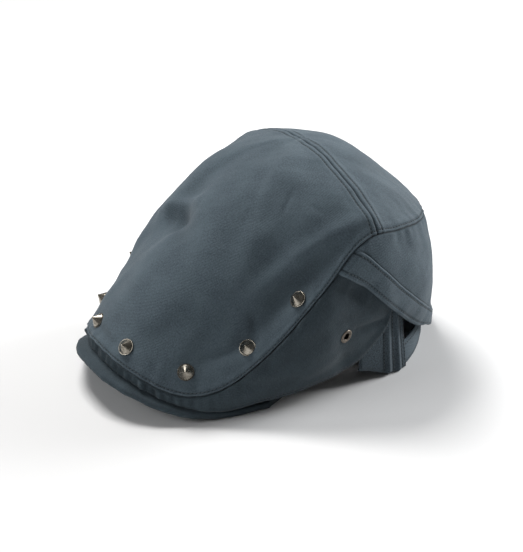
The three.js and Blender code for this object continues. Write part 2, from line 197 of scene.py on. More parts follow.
# Sections of the crown by the angle from the front, as shares of the sizes above.
SECTIONS = {
    "angle": (0, 20, 40, 52, 65, 78, 90, 110, 127, 145, 180),
    "seam": (0.225, 0.19, 0.12, 0.16, 0.32, 0.54, 0.74, 0.745, 0.715, 0.685, 0.665),
    "dome": (1.62, 1.7, 1.95, 2.25, 2.4, 2.4, 2.4, 2.2, 2.1, 2.0, 1.95),
    "swell": (0.0, 0.0, 0.003, 0.012, 0.03, 0.036, 0.034, 0.034, 0.028, 0.022, 0.018),
    "lift": (0.0, 0.0, 0.0, 0.03, 0.2, 0.42, 0.62, 0.9, 0.95, 0.2, 0.0),
    "lip": (1.0, 1.0, 0.6, -0.3, -0.7, -1.0, -1.0, -1.0, -1.0, -1.0, -1.0),
    "arch": (1.0, 0.8, 0.25, 0.0, 0.0, 0.0, 0.0, 0.0, 0.0, 0.0, 0.0),
}
HEM_LINE = {
    "angle": (88, 97, 110, 125, 145, 180),
    "height": (0.7, 0.61, 0.45, 0.295, 0.16, 0.15),
}

# Main folds: degrees, shares of the way from the crown's top over the seam to the rim, share of height.
FOLDS = (
    {"angle": -30, "place": 0.6, "breadth": 14, "length": 0.13, "depth": -0.04},
    {"angle": -56, "place": 0.62, "breadth": 20, "length": 0.22, "depth": 0.03},
    {"angle": -52, "place": 1.0, "breadth": 25, "length": 0.4, "depth": 0.045},
    {"angle": 62, "place": 0.78, "breadth": 13, "length": 0.13, "depth": -0.045},
    {"angle": 76, "place": 0.7, "breadth": 11, "length": 0.12, "depth": 0.02},
    {"angle": 45, "place": 0.85, "breadth": 9, "length": 0.08, "depth": -0.016},
    {"angle": -72, "place": 0.85, "breadth": 12, "length": 0.12, "depth": -0.02},
)

# Soft creases: from one point of the cloth to another, with a half width and a depth in millimetres.
CREASES = (
    {"from": (-50, 0.70), "to": (-30, 0.52), "width": 4.5, "depth": 3.8},
    {"from": (-30, 0.52), "to": (-8, 0.46), "width": 6.0, "depth": 2.6},
    {"from": (-36, 0.63), "to": (-12, 0.56), "width": 7.5, "depth": -6.0},
    {"from": (-14, 0.56), "to": (8, 0.62), "width": 10.0, "depth": -2.4},
    {"from": (-8, 0.72), "to": (20, 0.80), "width": 16.0, "depth": 1.8},
    {"from": (56, 0.91), "to": (83, 0.89), "width": 8.5, "depth": -5.4},
    {"from": (72, 0.80), "to": (95, 0.90), "width": 6.5, "depth": 4.0},
    {"from": (-38, 0.85), "to": (-80, 0.84), "width": 7.5, "depth": 3.2},
    {"from": (52, 0.82), "to": (70, 0.78), "width": 7.0, "depth": 2.8},
    {"from": (64, 0.58), "to": (68, 0.49), "width": 2.0, "depth": -0.6},
    {"from": (72, 0.62), "to": (79, 0.77), "width": 1.9, "depth": -0.6},
    {"from": (75, 0.60), "to": (82, 0.74), "width": 1.8, "depth": -0.5},
    {"from": (69, 0.63), "to": (76, 0.78), "width": 1.9, "depth": -0.45},
    {"from": (57, 0.86), "to": (59, 0.94), "width": 2.4, "depth": -1.9},
    {"from": (57, 0.93), "to": (44, 0.92), "width": 4.0, "depth": -2.4},
    {"from": (-14, 0.955), "to": (6, 0.965), "width": 3.0, "depth": -2.0},
    {"from": (20, 0.93), "to": (32, 0.80), "width": 6.0, "depth": -0.9},
    {"from": (30, 0.97), "to": (44, 0.80), "width": 5.5, "depth": 0.8},
    {"from": (38, 0.44), "to": (58, 0.62), "width": 12.0, "depth": -1.4},
    {"from": (20, 0.62), "to": (46, 0.72), "width": 13.0, "depth": 1.2},
    {"from": (-4, 0.80), "to": (18, 0.66), "width": 10.0, "depth": -1.0},
    {"from": (118, 0.50), "to": (150, 0.78), "width": 12.0, "depth": -1.2},
    {"from": (200, 0.62), "to": (225, 0.80), "width": 11.0, "depth": -1.3},
    {"from": (-88, 0.62), "to": (-74, 0.84), "width": 7.0, "depth": -1.4},
    {"from": (88, 1.655), "to": (101, 1.71), "width": 3.2, "depth": -2.4},
    {"from": (85, 1.20), "to": (94, 1.44), "width": 8.0, "depth": -4.0},
    {"from": (64, 1.25), "to": (80, 1.40), "width": 7.0, "depth": -1.2},
    {"from": (66, 1.62), "to": (84, 1.78), "width": 6.0, "depth": 1.1},
    {"from": (58, 1.30), "to": (70, 1.70), "width": 5.0, "depth": -0.9},
    {"from": (-90, 1.30), "to": (-70, 1.50), "width": 8.0, "depth": -1.8},
    {"from": (-66, 1.30), "to": (-82, 1.70), "width": 6.0, "depth": -1.0},
    {"from": (108, 1.06), "to": (124, 1.34), "width": 6.0, "depth": -1.1},
    {"from": (122, 1.04), "to": (128, 1.40), "width": 7.0, "depth": -1.3},
    {"from": (150, 1.06), "to": (156, 1.60), "width": 8.0, "depth": -1.2},
    {"from": (196, 1.06), "to": (206, 1.50), "width": 8.0, "depth": -1.3},
    {"from": (232, 1.05), "to": (246, 1.35), "width": 7.0, "depth": -1.1},
)


def column(table, name, angle):
    """A table's column at each angle, with level ends and smooth steps between the rows."""
    stops = np.array(table["angle"], float)
    values = np.array(table[name], float)
    slopes = np.zeros_like(values)
    slopes[1:-1] = (values[2:] - values[:-2]) / (stops[2:] - stops[:-2])
    bent = np.clip(angle, stops[0], stops[-1])
    row = np.clip(np.searchsorted(stops, bent, side="left") - 1, 0, len(stops) - 2)
    width = stops[row + 1] - stops[row]
    t = (bent - stops[row]) / width
    rise = t * t * (3 - 2 * t)
    bend = width * t * (1 - t) * ((1 - t) * slopes[row] - t * slopes[row + 1])
    return values[row] * (1 - rise) + values[row + 1] * rise + bend


def from_front(angle):
    """The angle from the front, 0 to 180 on either side."""
    turned = np.abs(angle) % 360
    return np.where(turned > 180, 360 - turned, turned)


def section(name, angle):
    """A column of the crown's sections at each angle."""
    return column(SECTIONS, name, from_front(angle))


def smooth(start, end, value):
    """A smooth rise from 0 at the start to 1 at the end."""
    t = np.clip((value - start) / (end - start), 0, 1)
    return t * t * (3 - 2 * t)


def unit(vectors):
    return vectors / np.maximum(np.linalg.norm(vectors, axis=-1, keepdims=True), 1e-9)


def crown_plan(angle, out=0.0):
    """The crown's outline seen from above."""
    c = np.cos(np.radians(angle))
    s = np.sin(np.radians(angle))
    reach = np.where(c > 0, CROWN_FRONT, CROWN_BACK)
    r = (np.abs(s) ** PLAN_POWER + np.abs(c) ** PLAN_POWER) ** (-1 / PLAN_POWER)
    plan = np.stack([CROWN_WIDTH / 2 * s * r, -reach * c * r], -1)
    return plan + out * unit(plan)


def head_plan(angle, out=0.0):
    """The head opening's outline seen from above."""
    s = np.sin(np.radians(angle))
    c = np.cos(np.radians(angle))
    return np.stack([(HEAD_WIDTH / 2 + out) * s, HEAD_CENTRE - (HEAD_LENGTH / 2 + out) * c], -1)


def seam_height(angle):
    return section("seam", angle) * CROWN_HEIGHT


def lip_height(angle):
    return np.maximum(section("arch", angle), 0) * LIP_ARCH


def rim_plan(angle, out=0.0):
    """The rim seen from above: the crown's outline in front that passes into the head's behind."""
    blend = smooth(RIM_LEAVES_CROWN, RIM_MEETS_HEAD, from_front(angle))[..., None]
    plan = crown_plan(angle, 1) * (1 - blend) + head_plan(angle, WALL_TO_HEAD) * blend
    return plan + np.asarray(out)[..., None] * unit(crown_plan(angle))


def rim_point(angle):
    """The cloth's lowest points, where place is 2."""
    height = lip_height(angle) + PEAK_THICKNESS + STRIP_SEAT + section("lift", angle) * SIDE_LIFT
    return np.concatenate([rim_plan(angle), height[..., None]], -1)


def main_folds(angle, place):
    """Rise of the main folds in millimetres, below 0 in a dent."""
    total = np.zeros(np.broadcast(angle, place).shape)
    for fold in FOLDS:
        across = from_front(angle - fold["angle"]) / fold["breadth"]
        along = (place - fold["place"]) / fold["length"]
        total = total + fold["depth"] * CROWN_HEIGHT * np.exp(-across * across - along * along)
    return total


def plain_cloth(angle, place):
    """The cloth without folds, place 0 at the crown's top, 1 on the long seam and 2 on the rim."""
    angle, place = np.broadcast_arrays(np.asarray(angle, float), np.asarray(place, float))
    plan = crown_plan(angle)
    seam = seam_height(angle)
    p = np.clip(place, 0, 1)
    height = seam + (CROWN_HEIGHT - seam) * (1 - p ** section("dome", angle))
    top = np.stack([plan[..., 0] * p, CROWN_TOP + (plan[..., 1] - CROWN_TOP) * p, height], -1)
    drop = np.maximum(place - 1, 0)
    seam_line = np.concatenate([plan, seam[..., None]], -1)
    wall = seam_line + (rim_point(angle) - seam_line) * drop[..., None]
    swell = section("swell", angle) * CROWN_WIDTH * np.sin(np.pi * np.minimum(drop, 1) ** SWELL_SKEW)
    wall[..., :2] += unit(plan) * swell[..., None]
    return np.where((place <= 1)[..., None], top, wall)


def plain_normal(angle, place):
    """The direction outwards of the cloth without folds."""
    angle, place = np.broadcast_arrays(np.asarray(angle, float), np.asarray(place, float))
    along = plain_cloth(angle, place + 0.01) - plain_cloth(angle, place - 0.01)
    turned = plain_cloth(angle + 1, place) - plain_cloth(angle - 1, place)
    normal = unit(np.cross(along, turned))
    normal[place < 0.02] = (0, 0, 1)
    return normal


def waves(points, length, seed):
    """Slow even noise between about -1 and 1 from a few crossed sine waves."""
    dice = np.random.default_rng(seed)
    total = np.zeros(points.shape[:-1])
    for _ in range(7):
        way = unit(dice.normal(size=3))
        pitch = length * dice.uniform(0.7, 1.6)
        total += np.sin(points @ way * 2 * np.pi / pitch + dice.uniform(0, 2 * np.pi))
    return total / 3.5


def crease_depth(points):
    """Depth of the soft creases at points of the plain cloth."""
    total = np.zeros(points.shape[:-1])
    for crease in CREASES:
        start = plain_cloth(*crease["from"])
        end = plain_cloth(*crease["to"])
        line = end - start
        share = np.clip(((points - start) @ line) / (line @ line), 0, 1)
        near = np.linalg.norm(points - (start + share[..., None] * line), axis=-1) / crease["width"]
        taper = 0.35 + 0.65 * np.sin(np.pi * np.clip(share, 0.06, 0.94))
        total += crease["depth"] * taper * np.exp(-near * near)
    return total


def soft_cloth(angle, place, inset=0.0):
    """The worn cloth with its folds, creases and slack, and its direction outwards."""
    angle, place = np.broadcast_arrays(np.asarray(angle, float), np.asarray(place, float))
    base = plain_cloth(angle, place)
    normal = plain_normal(angle, place)
    slack = 1.1 * waves(base, 62, 3) + 0.5 * waves(base, 27, 5) + 0.11 * waves(base, 10, 9)
    calm = 1 - np.exp(-(((place - 1) / 0.06) ** 2))
    depth = main_folds(angle, place) + crease_depth(base) + slack * calm
    return base + normal * (depth - inset)[..., None], normal


def place_at_height(angle, height):
    """The place between the long seam and the rim at which the cloth has a height."""
    low = np.full(np.broadcast(angle, height).shape, 1.0)
    high = np.full(low.shape, 2.0)
    for _ in range(24):
        middle = (low + high) / 2
        above = plain_cloth(angle, middle)[..., 2] > height
        low = np.where(above, middle, low)
        high = np.where(above, high, middle)
    return (low + high) / 2


def hem_top(angle):
    """Height of the hem's upper edge."""
    return column(HEM_LINE, "height", from_front(angle)) * CROWN_HEIGHT


def change_over(low, high, test):
    """Halve an interval until the test changes over within it."""
    for _ in range(30):
        middle = (low + high) / 2
        if test(middle):
            low = middle
        else:
            high = middle
    return (low + high) / 2


TOP_SEAM = change_over(70.0, 120.0, lambda angle: crown_plan(angle)[1] < CROWN_TOP)


def spaced(start, end, count, close=0.8):
    """Values from start to end that lie closer together at both ends."""
    t = np.linspace(0, 1, count)
    return start + (end - start) * (t - close * np.sin(2 * np.pi * t) / (2 * np.pi))


def lengths(points, axis):
    """Running length along a grid's axis, in millimetres."""
    steps = np.linalg.norm(np.diff(points, axis=axis), axis=-1)
    pad = [(0, 0), (0, 0)]
    pad[axis] = (1, 0)
    return np.pad(np.cumsum(steps, axis=axis), pad)


def middle_run(points):
    """Running length round the cap along a grid's middle row."""
    middle = points.shape[1] // 2
    return lengths(points, 0)[:, middle : middle + 1]


def facing(points):
    """Outward directions of a grid whose columns run round the cap and whose rows run down."""
    turned = np.gradient(points, axis=0)
    along = np.gradient(points, axis=1)
    return unit(np.cross(along, turned))


def pressed_edge(distance, stitch, allowance=6.0):
    """Relief in millimetres across a stitched seam, by the distance from the seam."""
    swelling = 0.4 * (1 - smooth(allowance - 2.0, allowance + 2.0, distance))
    return swelling - 1.2 * bell(distance, 0.75) - 0.5 * bell(distance - stitch, 0.65)


def bell(distance, width=0.6):
    """A soft bump: 1 at no distance, about a third at its width and nothing further off."""
    return np.exp(-((distance / width) ** 2))


def to_metres(points):
    """Points in metres, about the frame's own origin."""
    return (points + np.array(SHIFT)) * MM


def panel_uv(points, pole=False):
    """The cut of a panel laid flat: run round it and run down it, in millimetres."""
    down = lengths(points, 1)
    if pole:
        ray = points[:, -1, :2] - np.array([0, CROWN_TOP])
        return unit(ray)[:, None, :] * down[..., None]
    return np.stack([np.broadcast_to(middle_run(points), down.shape), down], -1)


def grid_object(name, points, wear_and_painted_light, pole=False, thickness=0.0, ring=False):
    """A piece from a grid of points in millimetres, its columns round the cap and its rows down."""
    columns, rows = points.shape[:2]
    index = np.arange(columns * rows).reshape(columns, rows)
    if pole:
        index[:, 0] = index[columns // 2, 0]
    after = np.roll(index, -1, axis=1)
    last = rows if ring else rows - 1
    corners = (index[:-1, :last], after[:-1, :last], after[1:, :last], index[1:, :last])
    faces = [tuple(dict.fromkeys(face)) for face in zip(*(corner.ravel().tolist() for corner in corners))]
    mesh = bpy.data.meshes.new(name)
    mesh.from_pydata(to_metres(points).reshape(-1, 3).tolist(), [], faces)
    layer = mesh.uv_layers.new(name="cut")
    vertices = np.empty(len(mesh.loops), int)
    mesh.loops.foreach_get("vertex_index", vertices)
    layer.data.foreach_set("uv", (panel_uv(points, pole).reshape(-1, 2)[vertices] * MM).ravel())
    shade = mesh.attributes.new("wear_and_painted_light", "FLOAT", "POINT")
    shade.data.foreach_set("value", np.ascontiguousarray(wear_and_painted_light.reshape(-1), dtype=np.float32))
    piece = add_to_scene(name, mesh)
    edit_mesh(piece, drop_loose)
    if thickness:
        add_modifier(piece, "SOLIDIFY", thickness=thickness * MM, offset=-1.0, use_quality_normals=True)
    mesh.shade_smooth()
    return piece


def add_to_scene(name, data):
    """Add a mesh, a lamp or a camera to the scene."""
    thing = bpy.data.objects.new(name, data)
    bpy.context.scene.collection.objects.link(thing)
    return thing


def edit_mesh(piece, change):
    """Change a piece's mesh by a function that works on its shape."""
    shape = bmesh.new()
    shape.from_mesh(piece.data)
    change(shape)
    shape.to_mesh(piece.data)
    shape.free()


def drop_loose(shape):
    """Delete the vertices that no face uses."""
    loose = [vertex for vertex in shape.verts if not vertex.link_faces]
    bmesh.ops.delete(shape, geom=loose, context="VERTS")


def face_outwards(shape):
    """Turn the faces of a closed shape outwards."""
    bmesh.ops.recalc_face_normals(shape, faces=shape.faces)


def close_ends(shape):
    """Close the open ends of a ring grid and turn its faces outwards."""
    edges = [edge for edge in shape.edges if edge.is_boundary]
    bmesh.ops.holes_fill(shape, edges=edges, sides=0)
    face_outwards(shape)


def pick(*pieces):
    """Select these pieces only, the first one active."""
    bpy.ops.object.select_all(action="DESELECT")
    for piece in pieces:
        piece.select_set(True)
    bpy.context.view_layer.objects.active = pieces[0]


def add_modifier(piece, kind, **settings):
    """Add a modifier to a piece and apply it."""
    pick(piece)
    modifier = piece.modifiers.new(kind.title(), kind)
    for name, value in settings.items():
        setattr(modifier, name, value)
    bpy.ops.object.modifier_apply(modifier=modifier.name)


def line_at(points, run, distance):
    """Points of a grid where each column's running length reaches a distance."""
    line = np.empty((len(points), 3))
    for number, (column_points, steps) in enumerate(zip(points, run)):
        for axis in range(3):
            line[number, axis] = np.interp(distance, steps, column_points[:, axis])
    return line


# A stitch from end to end: share of its length, height above the cloth and share of the thread's radius.
STITCH_RINGS = ((-0.5, -0.10, 0.35), (-0.28, 0.16, 1.0), (0.28, 0.16, 1.0), (0.5, -0.10, 0.35))
STITCH_SIDES = 6


def stitch_row(line, normals, pitch, share=0.66, radius=0.27):
    """Vertices and faces of a row of thread stitches along a line on the cloth, in millimetres."""
    run = np.concatenate([[0], np.cumsum(np.linalg.norm(np.diff(line, axis=0), axis=-1))])
    count = max(int(run[-1] / pitch), 1)
    sides = STITCH_SIDES
    vertices = []
    faces = []

    def at(distance, source):
        return np.array([np.interp(distance, run, source[:, axis]) for axis in range(3)])

    for number in range(count):
        middle = (number + 0.5) * run[-1] / count
        base = len(vertices)
        for turn, rise, width in STITCH_RINGS:
            point = at(middle + turn * pitch * share, line)
            normal = unit(at(middle, normals))
            way = unit(at(middle + 0.3, line) - at(middle - 0.3, line))
            side = unit(np.cross(way, normal))
            for step in range(sides):
                angle = 2 * math.pi * step / sides
                spoke = side * math.cos(angle) + normal * math.sin(angle)
                vertices.append(point + normal * rise + spoke * radius * width)
        for ring in range(len(STITCH_RINGS) - 1):
            for step in range(sides):
                after = (step + 1) % sides
                low = base + ring * sides
                faces.append((low + step, low + after, low + sides + after, low + sides + step))
        last = base + (len(STITCH_RINGS) - 1) * sides
        faces.append(tuple(base + step for step in reversed(range(sides))))
        faces.append(tuple(last + step for step in range(sides)))
    return vertices, faces


def sewn_row(points, normals, run, distance, pitch):
    """A row of stitches where each column of a grid reaches a running length."""
    return stitch_row(line_at(points, run, distance), line_at(normals, run, distance), pitch)


def sewn_row_from_end(points, normals, run, distance, pitch):
    """The same, measured from the other end of each column."""
    return sewn_row(points[:, ::-1], normals[:, ::-1], run[:, ::-1], distance, pitch)


def add_thread(name, rows, slot):
    """One piece of thread from several rows of stitches."""
    vertices = []
    faces = []
    for row_vertices, row_faces in rows:
        base = len(vertices)
        vertices += row_vertices
        faces += [tuple(corner + base for corner in face) for face in row_faces]
    mesh = bpy.data.meshes.new(name)
    mesh.from_pydata(to_metres(np.array(vertices)).tolist(), [], faces)
    mesh.shade_smooth()
    piece = add_to_scene(name, mesh)
    edit_mesh(piece, face_outwards)
    finish_piece(piece, "polyester thread", slot)


def finish_piece(piece, material, slot, *nodes):
    """Give a piece its finish and its body, and let it stand for its nodes. Its slot is not used."""
    piece.data.materials.clear()
    piece.data.materials.append(bpy.data.materials[material])
    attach(piece, "root")
    if nodes:
        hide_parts(*nodes)


def linear(colour):
    """An sRGB hex colour as linear red, green, blue and alpha."""
    parts = [int(colour[place : place + 2], 16) / 255 for place in (1, 3, 5)]
    return (*[p / 12.92 if p <= 0.04045 else ((p + 0.055) / 1.055) ** 2.4 for p in parts], 1.0)


def add_node(tree, kind, inputs=None, **settings):
    """Add a node with its settings. An input is a value, or a socket to link from."""
    node = tree.nodes.new(kind)
    for name, value in settings.items():
        setattr(node, name, value)
    for name, value in (inputs or {}).items():
        if isinstance(value, bpy.types.NodeSocket):
            tree.links.new(value, node.inputs[name])
        else:
            node.inputs[name].default_value = value
    return node


def new_material(name):
    """An empty finish: its node tree and its shader."""
    material = bpy.data.materials.new(name)
    material.use_nodes = True
    tree = material.node_tree
    tree.nodes.clear()
    shader = add_node(tree, "ShaderNodeBsdfPrincipled")
    out = add_node(tree, "ShaderNodeOutputMaterial")
    tree.links.new(shader.outputs["BSDF"], out.inputs["Surface"])
    return tree, shader


def noise(tree, vector, size, detail, roughness=0.5):
    """Cloudy noise, its clouds about a size in millimetres."""
    inputs = {"Vector": vector, "Scale": 1 / (size * MM), "Detail": detail, "Roughness": roughness}
    return add_node(tree, "ShaderNodeTexNoise", inputs).outputs["Fac"]


def ranged(tree, value, low, high, to_low=0.0, to_high=1.0):
    """A value taken from one range to another."""
    inputs = {"Value": value, "From Min": low, "From Max": high, "To Min": to_low, "To Max": to_high}
    return add_node(tree, "ShaderNodeMapRange", inputs).outputs["Result"]


def mixed(tree, share, first, second):
    """A colour that passes into another by a share."""
    return add_node(tree, "ShaderNodeMix", {0: share, 6: first, 7: second}, data_type="RGBA").outputs[2]


def worked_out(tree, operation, *values, clamp=False):
    """The result of a sum on values or sockets."""
    inputs = dict(enumerate(values))
    return add_node(tree, "ShaderNodeMath", inputs, operation=operation, use_clamp=clamp).outputs[0]


def raise_surface(tree, shader, height, strength, depth):
    """Let a pattern raise the surface by a depth in millimetres."""
    inputs = {"Height": height, "Strength": strength, "Distance": depth * MM}
    bump = add_node(tree, "ShaderNodeBump", inputs)
    tree.links.new(bump.outputs["Normal"], shader.inputs["Normal"])


# Cotton twill, piece dyed and washed: matt, a diagonal rib, mottled dye and paler worn seams. The side cloth
# and the peak are the same twill drawn darker, as painted shade for cloth that faces down, and the tape a
# finer one in the same darker colours with rubbed edges. The real rib is about 0.5 mm and is drawn at 0.95
# mm, as coarse as it needs to show. The wear and painted light value is above 0 on rubbed edges, which are
# paler, and where ridges and the side's front strip are painted paler as painted light. It is below 0 in
# grooves, creases, along stitches and under the hem, where it paints shade into the colour.
def twill_material(name, ground, pale, deep, shade, rib=0.95, worn=0.5):
    tree, shader = new_material(name)
    cut = add_node(tree, "ShaderNodeUVMap", uv_map="cut").outputs["UV"]
    slant = {"Vector": cut, "Rotation": (0, 0, math.radians(TWILL_SLANT))}
    stretch = {"Vector": cut, "Scale": (1 / SLUB_WIDTH, 1 / SLUB_LENGTH, 1)}
    bands = {
        "Vector": add_node(tree, "ShaderNodeMapping", slant).outputs["Vector"],
        "Scale": 2 * math.pi / (WAVE_RADIANS * rib * MM),
        "Distortion": 1.6,
        "Detail": 2.0,
        "Detail Scale": 1.7,
    }
    shape = {"wave_type": "BANDS", "bands_direction": "X", "wave_profile": "SIN"}
    ribs = add_node(tree, "ShaderNodeTexWave", bands, **shape).outputs["Fac"]
    yarn = noise(tree, cut, YARN_SIZE, 3.0, 0.7)
    dye = noise(tree, cut, DYE_PATCH, 5.0, 0.62)
    slub = noise(tree, add_node(tree, "ShaderNodeMapping", stretch).outputs["Vector"], 1.0, 3.0, 0.6)
    mottled = worked_out(tree, "MULTIPLY_ADD", dye, 0.55, worked_out(tree, "MULTIPLY", slub, 0.45))
    base = mixed(tree, ranged(tree, mottled, 0.38, 0.62), linear(deep), linear(ground))
    grain = worked_out(tree, "MULTIPLY_ADD", ribs, 0.12, ranged(tree, yarn, 0.38, 0.68, 0.0, 0.42))
    lit = mixed(tree, grain, base, linear(pale))
    # Wear and painted light: paler where the value is above 0, and painted shade in the shade colour where
    # it is below 0.
    wear_and_painted_light = {"attribute_name": "wear_and_painted_light", "attribute_type": "GEOMETRY"}
    wear_and_light_here = add_node(tree, "ShaderNodeAttribute", **wear_and_painted_light).outputs["Fac"]
    paler_wear_and_light = worked_out(tree, "MULTIPLY", wear_and_light_here, worked_out(tree, "MULTIPLY", yarn, worn), clamp=True)
    painted_shade = worked_out(tree, "MULTIPLY", wear_and_light_here, -0.85, clamp=True)
    wear_and_light_colour = mixed(tree, paler_wear_and_light, lit, linear(pale))
    tree.links.new(mixed(tree, painted_shade, wear_and_light_colour, linear(shade)), shader.inputs["Base Color"])
    relief = worked_out(tree, "MULTIPLY_ADD", ribs, 0.45, worked_out(tree, "MULTIPLY", yarn, 1.1))
    raise_surface(tree, shader, relief, 0.75, TWILL_RELIEF)
    tree.links.new(ranged(tree, yarn, 0.3, 0.7, 0.82, 0.98), shader.inputs["Roughness"])
    shader.inputs["Sheen Weight"].default_value = 0.1
    shader.inputs["Sheen Roughness"].default_value = 0.45
    shader.inputs["Specular IOR Level"].default_value = 0.25


# Polyester sewing thread, twisted: a little smoother than the cloth it holds, and drawn darker as painted
# shade for the needle holes and small shadows along the stitches.
def thread_material(name, ground, pale):
    tree, shader = new_material(name)
    place = add_node(tree, "ShaderNodeTexCoord").outputs["Object"]
    twist = noise(tree, place, 0.8, 2.0)
    tree.links.new(mixed(tree, twist, linear(ground), linear(pale)), shader.inputs["Base Color"])
    raise_surface(tree, shader, twist, 0.4, 0.08)
    shader.inputs["Roughness"].default_value = 0.62
    shader.inputs["Sheen Weight"].default_value = 0.15


# Turned metal with an aged plating: bright and browned, dull plating mixed in soft clouds.
def plated_material(name, bright, dull, rough_low, rough_high):
    tree, shader = new_material(name)
    place = add_node(tree, "ShaderNodeTexCoord").outputs["Object"]
    cloud = noise(tree, place, 2.2, 5.0, 0.65)
    aged = ranged(tree, cloud, 0.36, 0.64)
    tree.links.new(mixed(tree, aged, linear(dull), linear(bright)), shader.inputs["Base Color"])
    rough = ranged(tree, cloud, 0.36, 0.64, rough_high, rough_low)
    tree.links.new(rough, shader.inputs["Roughness"])
    raise_surface(tree, shader, noise(tree, place, 0.35, 2.0), 0.08, 0.04)
    shader.inputs["Metallic"].default_value = 1.0


# Matt white paper under the cap: pale and without gloss, so that it shows the soft shadow alone.
def paper_material(name, white):
    _, shader = new_material(name)
    shader.inputs["Base Color"].default_value = linear(white)
    shader.inputs["Roughness"].default_value = 0.9


def ruffle(run, distance, pitch, depth, seed, reach=math.inf):
    """Small gathers that run away from a seam, by the run along it and the distance from it."""
    dice = np.random.default_rng(seed)
    total = np.zeros(np.broadcast(run, distance).shape)
    for _ in range(4):
        own = pitch * dice.uniform(0.7, 1.7)
        total = total + np.sin(2 * np.pi * run / own + dice.uniform(0, 2 * np.pi))
    return depth * total / 2 * np.exp(-distance / reach)


# In the reliefs that follow, the number before a bell is its height in millimetres, and the number in it
# is its width. In the wear and painted light values, the number before a bell is its strength: above 0
# paler, below 0 painted shade.
def crown_panel(start, end, columns, rows):
    """A top panel: its points, its outward directions, its distances to both kinds of seam and its wear and
    painted light.
    """
    angle = spaced(start, end, columns)[:, None]
    place = np.concatenate([np.linspace(0, 0.9, rows)[:-1], 0.9 + spaced(0, 0.1, rows // 2, 0.6)])[None, :]
    points, normal = soft_cloth(angle, place)
    down = lengths(points, 1)
    round_it = lengths(points, 0)
    to_seam = down[:, -1:] - down
    to_cross = np.minimum(round_it, round_it[-1:] - round_it)
    puckers = ruffle(round_it[:, -1:], to_seam, pitch=13, depth=0.42, reach=10, seed=11)
    puckers += ruffle(down, to_cross, pitch=15, depth=0.22, reach=8, seed=12)
    relief = pressed_edge(to_seam, SEAM_STITCH) + pressed_edge(to_cross, CROSS_STITCH, 6.5) + puckers
    # The relief fades at the crown's top, where all columns meet.
    relief *= smooth(0, 0.05, place) * 0.999 + 0.001
    points = points + normal * relief[..., None]
    wear_and_painted_light = 0.5 * bell(to_seam - 1.2) + 0.4 * bell(to_cross - 1.4) + 0.35 * bell(to_cross - 6, 1.0)
    # Painted shade in the seam's groove, along the stitches and in the creases, with the creases' ridges
    # painted paler as painted light.
    wear_and_painted_light -= bell(to_seam, 0.7) + 0.85 * bell(to_seam - SEAM_STITCH, 0.45)
    wear_and_painted_light -= 0.8 * bell(to_cross, 0.6) + 0.95 * bell(to_cross - CROSS_STITCH, 0.5)
    wear_and_painted_light += FOLD_SHADE * crease_depth(points)
    return points, facing(points), to_seam, to_cross, wear_and_painted_light


class CapSizes(bpy.types.PropertyGroup):
    """Sizes of the sewing and of the metal."""

    cloth: FloatProperty(
        name="Cloth",
        description="Thickness of the cloth as drawn",
        default=1.1 * MM,
        unit="LENGTH",
        min=0.0002,
    )
    stitch: FloatProperty(
        name="Stitch",
        description="Length of one stitch with its gap",
        default=2.6 * MM,
        unit="LENGTH",
        min=0.001,
    )
    stud: FloatProperty(
        name="Stud",
        description="Diameter of a cone stud",
        default=10.6 * MM,
        unit="LENGTH",
        min=0.004,
    )
    stud_height: FloatProperty(
        name="Stud height",
        description="Height of a cone stud",
        default=5.6 * MM,
        unit="LENGTH",
        min=0.002,
    )
    eyelet: FloatProperty(
        name="Eyelet",
        description="Diameter of an eyelet",
        default=9.4 * MM,
        unit="LENGTH",
        min=0.004,
    )
    eyelet_hole: FloatProperty(
        name="Eyelet hole",
        description="Diameter of an eyelet's hole",
        default=4.6 * MM,
        unit="LENGTH",
        min=0.002,
    )


class CapColours(bpy.types.PropertyGroup):
    """Colours of the cloth, the thread, the metal and the floor, as sRGB hex values."""

    ground: StringProperty(name="Ground", description="Colour of the twill", default="#46535a")
    pale: StringProperty(name="Pale", description="Worn high points of the twill", default="#687680")
    deep: StringProperty(name="Deep", description="Deep dye of the twill", default="#364149")
    # The side colours are the twill drawn darker as painted shade, for the side cloth, the peak and the
    # tape, which lie in shade.
    side: StringProperty(name="Side", description="Colour of the deeper dyed side cloth", default="#333e45")
    side_deep: StringProperty(name="Deep side", description="Deep dye of the side cloth", default="#262f35")
    # The thread is drawn darker than the cloth as painted shade along the stitches.
    thread: StringProperty(name="Thread", description="Colour of the thread", default="#2f393f")
    metal: StringProperty(name="Metal", description="Bright plating", default="#aaa499")
    tarnish: StringProperty(name="Tarnish", description="Dull plating", default="#7f7a70")
    ring: StringProperty(name="Ring", description="Bright plating of the eyelets", default="#8a8177")
    ring_dull: StringProperty(name="Dull ring", description="Dull plating of the eyelets", default="#4d463e")
    # The shade colour is painted shade, laid into grooves, creases and stitches and under the hem.
    shade: StringProperty(name="Shade", description="Cloth in grooves and along stitches", default="#20282d")
    paper: StringProperty(name="Paper", description="The floor under the cap", default="#e6e6e6")


def millimetres(name):
    """One of the cap's sizes in millimetres."""
    return getattr(bpy.context.scene.cap_sizes, name) / MM


class CAP_OT_materials(bpy.types.Operator):
    """Make the finishes of the cloth, the thread, the metal and the floor"""

    bl_idname = "cap.materials"
    bl_label = "Finishes"

    def execute(self, context):
        tint = context.scene.cap_colours
        shade = tint.shade
        twill_material("washed cotton twill", tint.ground, tint.pale, tint.deep, shade)
        twill_material("cotton twill in shade", tint.side, tint.ground, tint.side_deep, shade)
        twill_material("cotton twill tape", tint.side, tint.pale, tint.side_deep, shade, rib=0.8, worn=0.8)
        thread_material("polyester thread", tint.thread, tint.ground)
        plated_material("antique nickel plating", tint.metal, tint.tarnish, 0.2, 0.3)
        plated_material("aged eyelet plating", tint.ring, tint.ring_dull, 0.25, 0.5)
        paper_material("matt white paper", tint.paper)
        return {"FINISHED"}


# Rows of the grid next to the crown's top that carry no stitches.
TOP_ROWS = 6


